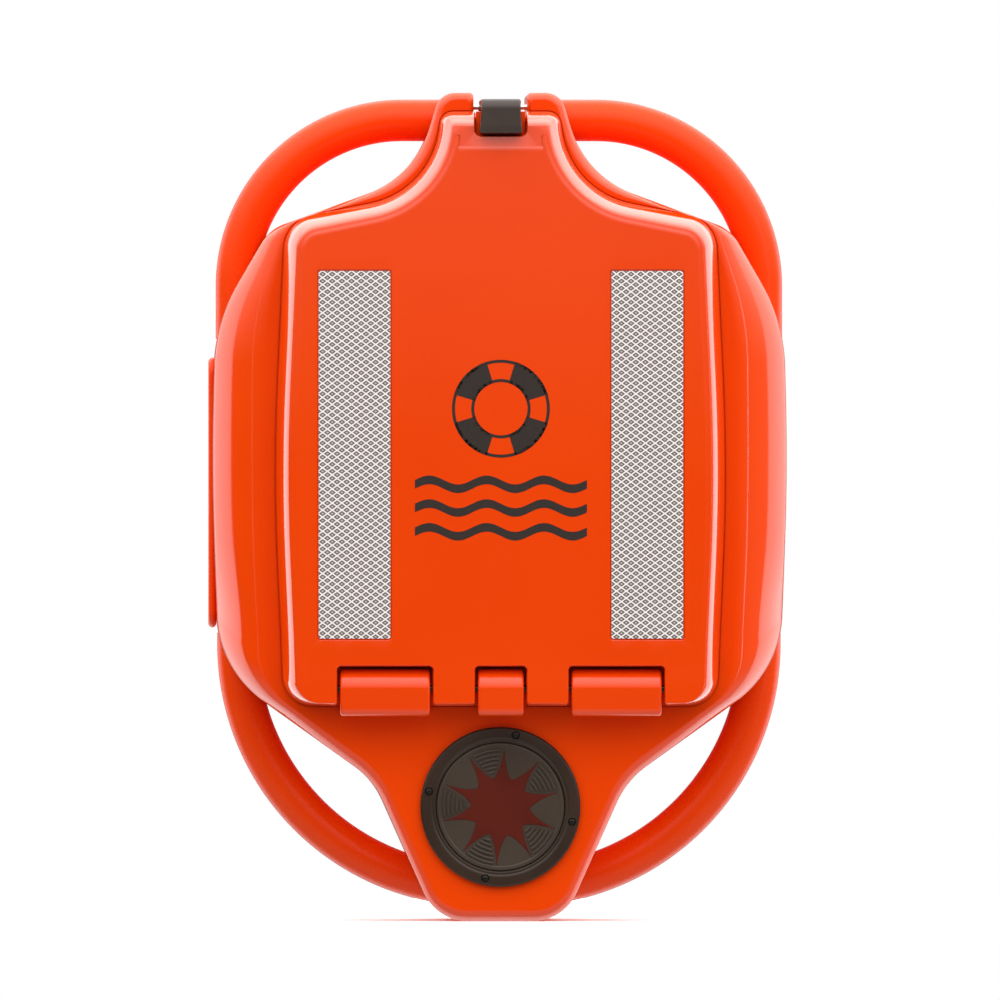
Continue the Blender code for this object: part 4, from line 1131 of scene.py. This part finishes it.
def flat_ring(name, outer, inner, y_pair):
    """Return a thin ring between two matched outlines."""
    front, back = y_pair
    rings = [level(outer, front), level(outer, back), level(inner, back), level(inner, front)]
    return loft(name, rings, INK, 32, True)


# ---- hinge and latch

def build_hinge():
    """Build the body knuckles, the lid knuckles and the pin."""
    box_low, box_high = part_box("body_knuckle_right")
    barrel = box_high.z - HINGE_Z
    front = box_low.y
    foot_round = 0.0055
    buried = box_high.y + 0.0024
    points = [(buried, box_low.z), (buried, -0.1150)]
    points += arc((HINGE_Y, HINGE_Z), barrel, radians(45), pi, 28)
    points += arc((front + foot_round + 0.0012, box_low.z + foot_round), foot_round, pi, 1.5 * pi, 10)
    for name in ("left", "centre", "right"):
        low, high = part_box(f"body_knuckle_{name}")
        knuckle = prism(f"hinge_knuckle_{name}", points, low.x, high.x, ORANGE, 0.0020, 5)
        piece(knuckle, "root", "orange_shell", f"body_knuckle_{name}")
    points = [(-0.1680, HINGE_Z - 0.0074), (-0.1732, -0.1225), (-0.1732, -0.1090), (-0.1602, -0.1090)]
    points += arc((HINGE_Y, HINGE_Z), 0.0075, radians(60), -pi / 2, 20)
    for name in ("inner_left", "inner_right", "outer_left", "outer_right"):
        low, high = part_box(f"lid_knuckle_{name}")
        trim = NOTCH_WALL + GAP
        ends = (low.x + trim, high.x - trim) if "inner" in name else (low.x + trim, high.x)
        if name == "outer_left":
            ends = (low.x, high.x - trim)
        knuckle = prism(f"cover_knuckle_{name}", points, *ends, ORANGE, 0.0006, 2)
        piece(knuckle, "lid", "orange_shell", f"lid_knuckle_{name}")
    # The hinge pin takes the dark steel: painted shade for the gaps between the knuckles, where the pin
    # shows.
    build_pin("hinge_rod", "hinge_pin", (0, HINGE_Y, HINGE_Z), DARK_STEEL)
    build_pin("latch_rod", "latch_pin", (0, LATCH_Y, LATCH_Z), STEEL)


def build_pin(name, node, centre, material):
    """Build a pin with chamfered ends."""
    low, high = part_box(node)
    radius, chamfer = (high.z - low.z) / 2, 0.0005
    profile = [(0.0, low.x), (radius - chamfer, low.x), (radius, low.x + chamfer),
               (radius, high.x - chamfer), (radius - chamfer, high.x), (0.0, high.x)]
    pin = turned(name, profile, centre, "side", material, 48)
    piece(pin, "root", "stainless_steel", node)


def build_latch():
    """Build the latch lever, narrower above its hooked foot, and its spring."""
    low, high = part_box("latch_lever")
    front, bottom, top = low.y, low.z, high.z
    points = arc((LATCH_Y, LATCH_Z), 0.0043, pi / 2, -pi / 2, 16)
    points += [(-0.1415, 0.2678), (-0.1636, 0.2678)]
    points += arc((-0.1650, 0.2664), 0.0008, pi / 2, 0, 4)[1:]
    points += [(-0.1642, 0.2600), (-0.1642, bottom + 0.0006), (-0.1648, bottom)]
    points += [(front + 0.0016, bottom), (front + 0.0004, bottom + 0.0006), (front, bottom + 0.0014)]
    points += [(front, 0.2580), (front + 0.0003, 0.2620)]
    points += arc((front + 0.0003 + 0.0066, top - 0.0066), 0.0066, pi, pi / 2, 14)
    half_width = high.x
    lever = prism("latch_lever_moulded", points, -half_width, half_width, BLACK)
    for vertex in lever.data.vertices:
        narrow = smooth_step(vertex.co.z, 0.2540, 0.2625) * smooth_step(-vertex.co.y, 0.150, 0.160)
        vertex.co.x *= 1.0 - 0.09 * narrow
    low_spring, high_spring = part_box("latch_spring")
    gap = block("spring_gap", (low_spring.x - 0.0009, -0.146, 0.260), (0.020, -0.130, 0.280), BLACK, 0)
    bore = rod("lever_bore", 0.00205, -0.02, 0.02, (0, LATCH_Y, LATCH_Z), "side", BLACK, 32)
    subtract(lever, gap, bore)
    add_bevel(lever, 0.0007, 3, 50)
    piece(lever, "latch", "black_plastic", "latch_lever")
    turns, steps, radius, wire = 3.75, 32, 0.0030, 0.0005
    pitch = (high_spring.x - low_spring.x - 2 * wire) / turns
    path = []
    for step in range(int(turns * steps) + 1):
        angle = 2 * pi * step / steps
        path.append((low_spring.x + wire + pitch * step / steps, LATCH_Y + radius * cos(angle),
                     LATCH_Z + radius * sin(angle)))
    spring = tube("latch_return_spring", path, wire, STEEL, 10)
    piece(spring, "root", "stainless_steel", "latch_spring")


# ---- port

def star_side(share, margin=0.0):
    """Return (distance along a ray, half its width) on one concave side, from valley to tip."""
    valley = ((STAR_INNER + margin) * cos(pi / STAR_TIPS), (STAR_INNER + margin) * sin(pi / STAR_TIPS))
    waist = (STAR_WAIST[0], STAR_WAIST[1] + margin)
    tip = (STAR_OUTER + 4 * margin, 0.0)
    return tuple((1 - share) ** 2 * a + 2 * share * (1 - share) * b + share * share * c
                 for a, b, c in zip(valley, waist, tip))


def star_points(margin, steps=6):
    """Return the star's outline around the port's centre."""
    points = []
    for index in range(STAR_TIPS):
        angle = pi / 2 + STAR_TURN - 2 * index * pi / STAR_TIPS
        rise = [star_side(step / steps, margin) for step in range(steps + 1)]
        ray = rise + [(along, -across) for along, across in reversed(rise[1:-1])]
        points += [(along * cos(angle) - across * sin(angle),
                    PORT_Z + along * sin(angle) + across * cos(angle)) for along, across in ray]
    return points


def star_edge_angle(radius):
    """Return the angle from a valley's centre line to the star's edge at one radius."""
    low, high = 0.0, 1.0
    for _ in range(30):
        share = (low + high) / 2
        if hypot(*star_side(share)) < radius:
            low = share
        else:
            high = share
    along, across = star_side(share)
    return pi / STAR_TIPS - atan2(across, along)


def build_port():
    """Build the port's ring, gasket, screws, O-ring, cap, ribs and star."""
    place = (0, Y_DECK, PORT_Z)
    ring_profile = [
        (0.0500, 0.0046), (0.0528, 0.0044), (0.0540, 0.0032), (0.0540, 0.0010), (0.0466, 0.0010),
        (0.0466, -0.0240), (0.0385, -0.0240), (0.0385, -0.0015), (0.0436, -0.0015), (0.0436, 0.0036),
        (0.0442, 0.0042), (0.0452, 0.0042), (0.0457, 0.0038), (0.0462, 0.0042), (0.0470, 0.0046)]
    ring_profile = round_off(ring_profile + ring_profile[:1])
    ring = turned("port_flange", ring_profile, place, "front", PORT_RING, 160, True)
    cutters = []
    for index in range(4):
        low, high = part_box(f"port_screw_{index + 1}")
        seat = ((low.x + high.x) / 2, Y_DECK, (low.z + high.z) / 2)
        cutters.append(turned(f"screw_seat_{index + 1}", [
            (0.0, 0.012), (0.0034, 0.012), (0.0030, 0.0045), (0.0026, 0.0040), (0.0026, 0.0026),
            (0.0016, 0.0026), (0.0016, -0.012), (0.0, -0.012)], seat, "front", PORT_RING, 32))
        build_screw(index, seat)
    subtract(ring, *cutters)
    piece(ring, "root", "port_plastic", "port_ring")
    gasket = turned("port_flange_gasket", round_off([
        (0.0535, 0.0006), (0.0533, 0.00075), (0.0474, 0.00075), (0.0472, 0.0006), (0.0472, 0.0003),
        (0.0535, 0.0003), (0.0535, 0.0006)], 0.0001), place, "front", RUBBER, 96, True)
    piece(gasket, "root", "seal_rubber", "port_gasket")
    section = circle((0.0411, -0.0004), 0.0009, 16)
    seal = turned("port_o_ring", section, place, "front", RUBBER, 128, True)
    piece(seal, "port_ring_seal", "seal_rubber", "port_seal")
    build_cap(place)


def build_screw(index, seat):
    """Build a pan-head screw with a cross recess."""
    profile = [(0.0, 0.0040), (0.0010, 0.00398), (0.0018, 0.0038), (0.0023, 0.0034), (0.0024, 0.0029),
               (0.0013, 0.0029), (0.0013, -0.0080), (0.0, -0.0088)]
    screw = turned(f"port_bolt_{index + 1}", profile, seat, "front", DARK_STEEL, 48)
    cross = []
    for size in ((0.0015, 0.00035), (0.00035, 0.0015)):
        low = (seat[0] - size[0], Y_DECK - 0.0050, seat[2] - size[1])
        high = (seat[0] + size[0], Y_DECK - 0.0031, seat[2] + size[1])
        cross.append(block(f"cross_{index}_{size[0]}", low, high, DARK_STEEL, 0))
    subtract(screw, *cross)
    piece(screw, "root", "stainless_steel", f"port_screw_{index + 1}")


def build_cap(place):
    """Build the port's cap with ribbed panels between the star's rays."""
    cap = turned("port_cap_moulded", round_off([
        (0.0, 0.0034), (0.0402, 0.0034), (0.0406, 0.0038), (0.0424, 0.0038), (0.0433, 0.0030),
        (0.0433, 0.0009), (0.0382, 0.0009), (0.0382, -0.0200), (0.0352, -0.0200), (0.0352, 0.0004),
        (0.0, 0.0004)]),
        place, "front", PORT_GREY, 160)
    recess = plate("star_recess", star_points(0.0002), Y_DECK - 0.0080, Y_DECK - 0.0030, PORT_GREY)
    subtract(cap, recess)
    piece(cap, "port_cap", "port_plastic", "port_cap")
    star = plate("port_star_inlay", star_points(0.0), Y_DECK - 0.0036, Y_DECK - 0.0030 - GAP / 3,
                 STAR_RED, 0.00012, 1)
    piece(star, "port_cap", "port_star", "port_star")
    ribs = []
    for panel in range(STAR_TIPS // 2):
        middle = pi / 2 + STAR_TURN + pi / STAR_TIPS + panel * 4 * pi / STAR_TIPS
        for row in range(6):
            radius = 0.0238 + 0.0029 * row
            reach = star_edge_angle(radius) - 0.0022 / radius
            points = [(radius * cos(angle), Y_DECK - 0.0036, PORT_Z + radius * sin(angle))
                      for angle in (middle - reach + 2 * reach * step / 16 for step in range(17))]
            ribs.append(tube(f"rib_{panel}_{row}", points, 0.00085, PORT_GREY, 14))
    piece(join("port_cap_ribs", *ribs), "port_cap", "port_plastic")


# ---- storage and beacon

def build_tub():
    """Build the storage tub with a rounded flange."""
    low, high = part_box("storage_tub")
    under, front, floor = Y_DECK - GAP, low.y, high.y
    soft, touch = 0.0008, 0.0008 * 0.3    # rounding of the flange's edges, and its first part
    rings = tub_rings(
        (-0.0015, floor - TUB_WALL), (-0.0004, floor - TUB_WALL - 0.0004),
        (0.0, floor - TUB_WALL - 0.0015),
        (0.0, front + soft), (touch, front + touch), (soft, front),
        (TUB_LIP - soft, front), (TUB_LIP - touch, front + touch), (TUB_LIP, front + soft),
        (TUB_LIP, under), (TUB_WALL, under), (TUB_WALL, floor - TUB_WALL), (0.0, floor))
    tub = loft("beacon_tub", rings, INNER_ORANGE)
    piece(tub, "root", "orange_inner", "storage_tub")


def build_foams():
    """Build the cradle and the two hidden buoyancy blocks."""
    low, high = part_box("beacon_cradle")
    grow = -0.0015
    rings = tub_rings((grow - 0.0012, high.y), (grow, high.y - 0.0012), (grow, low.y + 0.0025),
                      (grow - 0.0008, low.y + 0.0008), (grow - 0.0028, low.y))
    cradle = loft("cradle_block", rings, FOAM)
    case_low, case_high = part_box("beacon_lower_case")
    centre_y = (case_low.y + case_high.y) / 2
    radius = case_high.x + 0.0006
    trough = rod("trough", radius, -0.0805, 0.1695, (0, centre_y, 0), "up", FOAM, 96)
    subtract(cradle, trough)
    piece(cradle, "root", "cradle_foam", "beacon_cradle")
    for side in ("left", "right"):
        low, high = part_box(f"buoyancy_foam_{side}")
        foam = block(f"buoyancy_block_{side}", low, high, WHITE_FOAM, 0.007, 4)
        piece(foam, "root", "buoyancy_foam", f"buoyancy_foam_{side}")


def build_beacon():
    """Build the beacon's case, dome, antenna, switch and button."""
    low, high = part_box("beacon_lower_case")
    axis_y = (low.y + high.y) / 2
    place = (0, axis_y, 0)
    radius = high.x
    wall = 0.0025
    outer = [(0.0, low.z), (radius - 0.0050, low.z), (radius - 0.0012, low.z + 0.0012),
             (radius, low.z + 0.0055)]
    for groove in range(5):
        z = low.z + 0.022 + groove * 0.0085
        outer += [(radius, z), (radius - 0.0009, z + 0.0008), (radius - 0.0009, z + 0.0030),
                  (radius, z + 0.0038)]
    outer += [(radius, high.z - 0.0006), (radius - 0.0006, high.z), (radius - wall, high.z),
              (radius - wall, low.z + 0.0065), (radius - wall - 0.003, low.z + wall), (0.0, low.z + wall)]
    lower = turned("beacon_base", outer, place, "up", YELLOW, 128)
    piece(lower, "root", "yellow_plastic", "beacon_lower_case")
    low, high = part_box("beacon_upper_case")
    bottom, shoulder = low.z, high.z
    profile = [(0.0330, shoulder), (0.0396, shoulder), (0.0406, shoulder - 0.0003),
               (0.0437, shoulder - 0.0048), (radius, shoulder - 0.0062), (radius, bottom + 0.0006),
               (radius - 0.0006, bottom), (radius - wall, bottom), (radius - wall, shoulder - 0.0065),
               (0.0385, shoulder - wall), (0.0330, shoulder - wall)]
    upper = turned("beacon_top", profile, place, "up", YELLOW, 128, True)
    button_low, button_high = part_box("beacon_test_button")
    button_z = (button_low.z + button_high.z) / 2
    bore = rod("button_bore", 0.0054, -0.01, 0.01, (0, axis_y - radius, button_z), "front", YELLOW, 48)
    subtract(upper, bore)
    piece(upper, "root", "yellow_plastic", "beacon_upper_case")
    build_dome(place)
    face = axis_y - button_low.y
    button = turned("beacon_button", round_off([
        (0.0, face), (0.0042, face - 0.0001), (0.0050, face - 0.0008), (0.0050, axis_y - button_high.y),
        (0.0, axis_y - button_high.y)], 0.0003), (0, axis_y, button_z), "front", BLACK, 48)
    piece(button, "button", "black_plastic", "beacon_test_button")
    low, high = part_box("beacon_switch")
    switch = block("beacon_slide_switch", low, high, RED, 0.0009, 3)
    ridges = [block(f"ridge_{index}", (low.x - 0.001, low.y - 0.001, low.z + 0.0016 + index * 0.0020),
                    (high.x + 0.001, low.y + 0.0006, low.z + 0.0024 + index * 0.0020), RED, 0)
              for index in range(4)]
    subtract(switch, *ridges)
    piece(switch, "switch", "red_plastic", "beacon_switch")
    low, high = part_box("beacon_antenna")
    centre = ((low.x + high.x) / 2, (low.y + high.y) / 2, 0)
    base = (high.x - low.x) / 2
    antenna = turned("beacon_whip", round_off([
        (0.0, high.z), (0.0014, high.z - 0.0002), (0.0018, high.z - 0.0020), (0.0018, low.z + 0.030),
        (0.0030, low.z + 0.0265), (0.0044, low.z + 0.0250), (base, low.z + 0.0235), (base, low.z + 0.0006),
        (base - 0.0006, low.z), (0.0, low.z)], 0.0006), centre, "up", BLACK, 40)
    piece(antenna, "root", "black_plastic", "beacon_antenna")


def build_dome(place):
    """Build the clear dome over the strobe lamp."""
    low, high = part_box("beacon_dome")
    radius, wall, spring_z = 0.0340, 0.0020, 0.1120
    rise = high.z - spring_z
    angles = [pi / 2 * step / 16 for step in range(17)]
    outer = [(radius * sin(angle), spring_z + rise * cos(angle)) for angle in angles]
    inner = [((radius - wall) * sin(angle), spring_z + (rise - wall) * cos(angle))
             for angle in reversed(angles)]
    outer[0] = (0.0, high.z)
    inner[-1] = (0.0, high.z - wall)
    rim = [(radius, low.z + 0.0042), (high.x, low.z + 0.0042), (high.x, low.z), (radius - wall, low.z)]
    dome = turned("beacon_clear_dome", outer + rim + inner, place, "up", CLEAR, 96)
    piece(dome, "root", "clear_plastic", "beacon_dome")


def finish_nodes():
    """Give the nodes that stay as they are in the frame their materials."""
    finishes = {"battery_pack": CELL_WRAP, "circuit_board": BOARD, "beacon_case_seal": RUBBER,
                "strobe_lamp": CLEAR}
    for name, material in finishes.items():
        node = frame["nodes"][name]
        node.data.materials.clear()
        node.data.materials.append(material)


# ---- stage

def build_floor():
    """Build the pale floor under the object."""
    bm = bmesh.new()
    ground = cad_box[0].z - 0.0002
    edge = loop(bm, [(x, y - 0.1, ground) for x, y in circle((0, 0), FLOOR_RADIUS, 96)])
    bm.faces.new(edge)
    floor = new_object("floor", bm, FLOOR)
    floor.modifiers.clear()
    if floor.data.polygons[0].normal.z < 0:
        floor.data.flip_normals()
    floor.visible_diffuse = False
    floor.visible_glossy = False


def softbox(name, place, target, size, energy):
    """Add a rectangular light that faces a point and isn't seen itself."""
    light = bpy.data.lights.new(name, "AREA")
    light.shape = "RECTANGLE"
    light.size, light.size_y = size
    light.energy = energy
    obj = bpy.data.objects.new(name, light)
    obj.location = place
    obj.rotation_euler = (Vector(target) - Vector(place)).to_track_quat("-Z", "Y").to_euler()
    obj.visible_camera = False
    bpy.context.scene.collection.objects.link(obj)


def build_world():
    """Make a white surround for the camera and, for the light, a dim room before a white wall."""
    world = bpy.data.worlds.new("studio")
    bpy.context.scene.world = world
    world.use_nodes = True
    world.node_tree.nodes.clear()
    net = Network(world.node_tree)
    generated = net.add("ShaderNodeTexCoord").outputs["Generated"]
    x, y, z = net.add("ShaderNodeSeparateXYZ", {0: generated}).outputs
    room = net.ramp(net.remap(z, From_Min=-1.0),
                    [((sine + 1) / 2, (strength,) * 3) for sine, strength in ROOM_LIGHT])
    front = net.math("ADD", room, net.remap(x, From_Min=RIGHT_EDGE, To_Max=RIGHT_LIGHT))
    behind = net.remap(y, From_Min=WALL_EDGE, From_Max=WALL_EDGE + WALL_BLEND, To_Max=WALL_LIGHT)
    dim_from, dim_to, dimmed = WALL_CENTRE
    dimming = net.remap(y, From_Min=dim_from, From_Max=dim_to, To_Min=1.0, To_Max=dimmed)
    path = net.add("ShaderNodeLightPath")
    soft = net.remap(path.outputs["Is Diffuse Ray"], To_Min=1.0, To_Max=WALL_DIFFUSE)
    wall = net.math("MULTIPLY", net.math("MULTIPLY", behind, dimming), soft)
    glow = net.add("ShaderNodeBackground", {"Color": WHITE, "Strength": net.math("MAXIMUM", front, wall)})
    seen = net.add("ShaderNodeBackground", {"Color": WHITE})
    mix = net.add("ShaderNodeMixShader", {0: path.outputs["Is Camera Ray"], 1: glow.outputs[0],
                                          2: seen.outputs[0]})
    net.add("ShaderNodeOutputWorld", {"Surface": mix.outputs[0]})


def build_lights():
    """Light the object from the room, the white wall behind it and two thin strips in front."""
    build_world()
    softbox("right_strip", (1.5, -1.5, 0.1), (0, -0.1, 0), (0.06, 1.6), STRIP_POWER)
    softbox("left_strip", (-1.5, -1.5, 0.1), (0, -0.1, 0), (0.04, 1.6), STRIP_POWER / 5)


def build_camera():
    """Set the camera square to the front, far enough away to look nearly parallel."""
    camera = bpy.data.cameras.new("camera")
    camera.sensor_width = 36.0
    camera.lens = camera.sensor_width * VIEW_DISTANCE / VIEW_WIDTH
    obj = bpy.data.objects.new("camera", camera)
    obj.location = (-VIEW_DISTANCE * sin(VIEW_TURN), VIEW_PLANE - VIEW_DISTANCE * cos(VIEW_TURN),
                    VIEW_CENTRE_Z)
    obj.rotation_euler = (pi / 2, 0, -VIEW_TURN)
    bpy.context.scene.collection.objects.link(obj)
    bpy.context.scene.camera = obj
    bpy.context.scene.view_settings.view_transform = "Standard"


# ---- assembly

build_camera()
build_front_shell()
build_rear_shell()
build_handles()
build_side_pad()
build_lid_skin()
build_latch_catch()
build_lid_lining()
build_lid_gasket()
build_strips()
build_pictogram()
build_hinge()
build_latch()
build_port()
build_tub()
build_foams()
build_beacon()
finish_nodes()
build_floor()
build_lights()
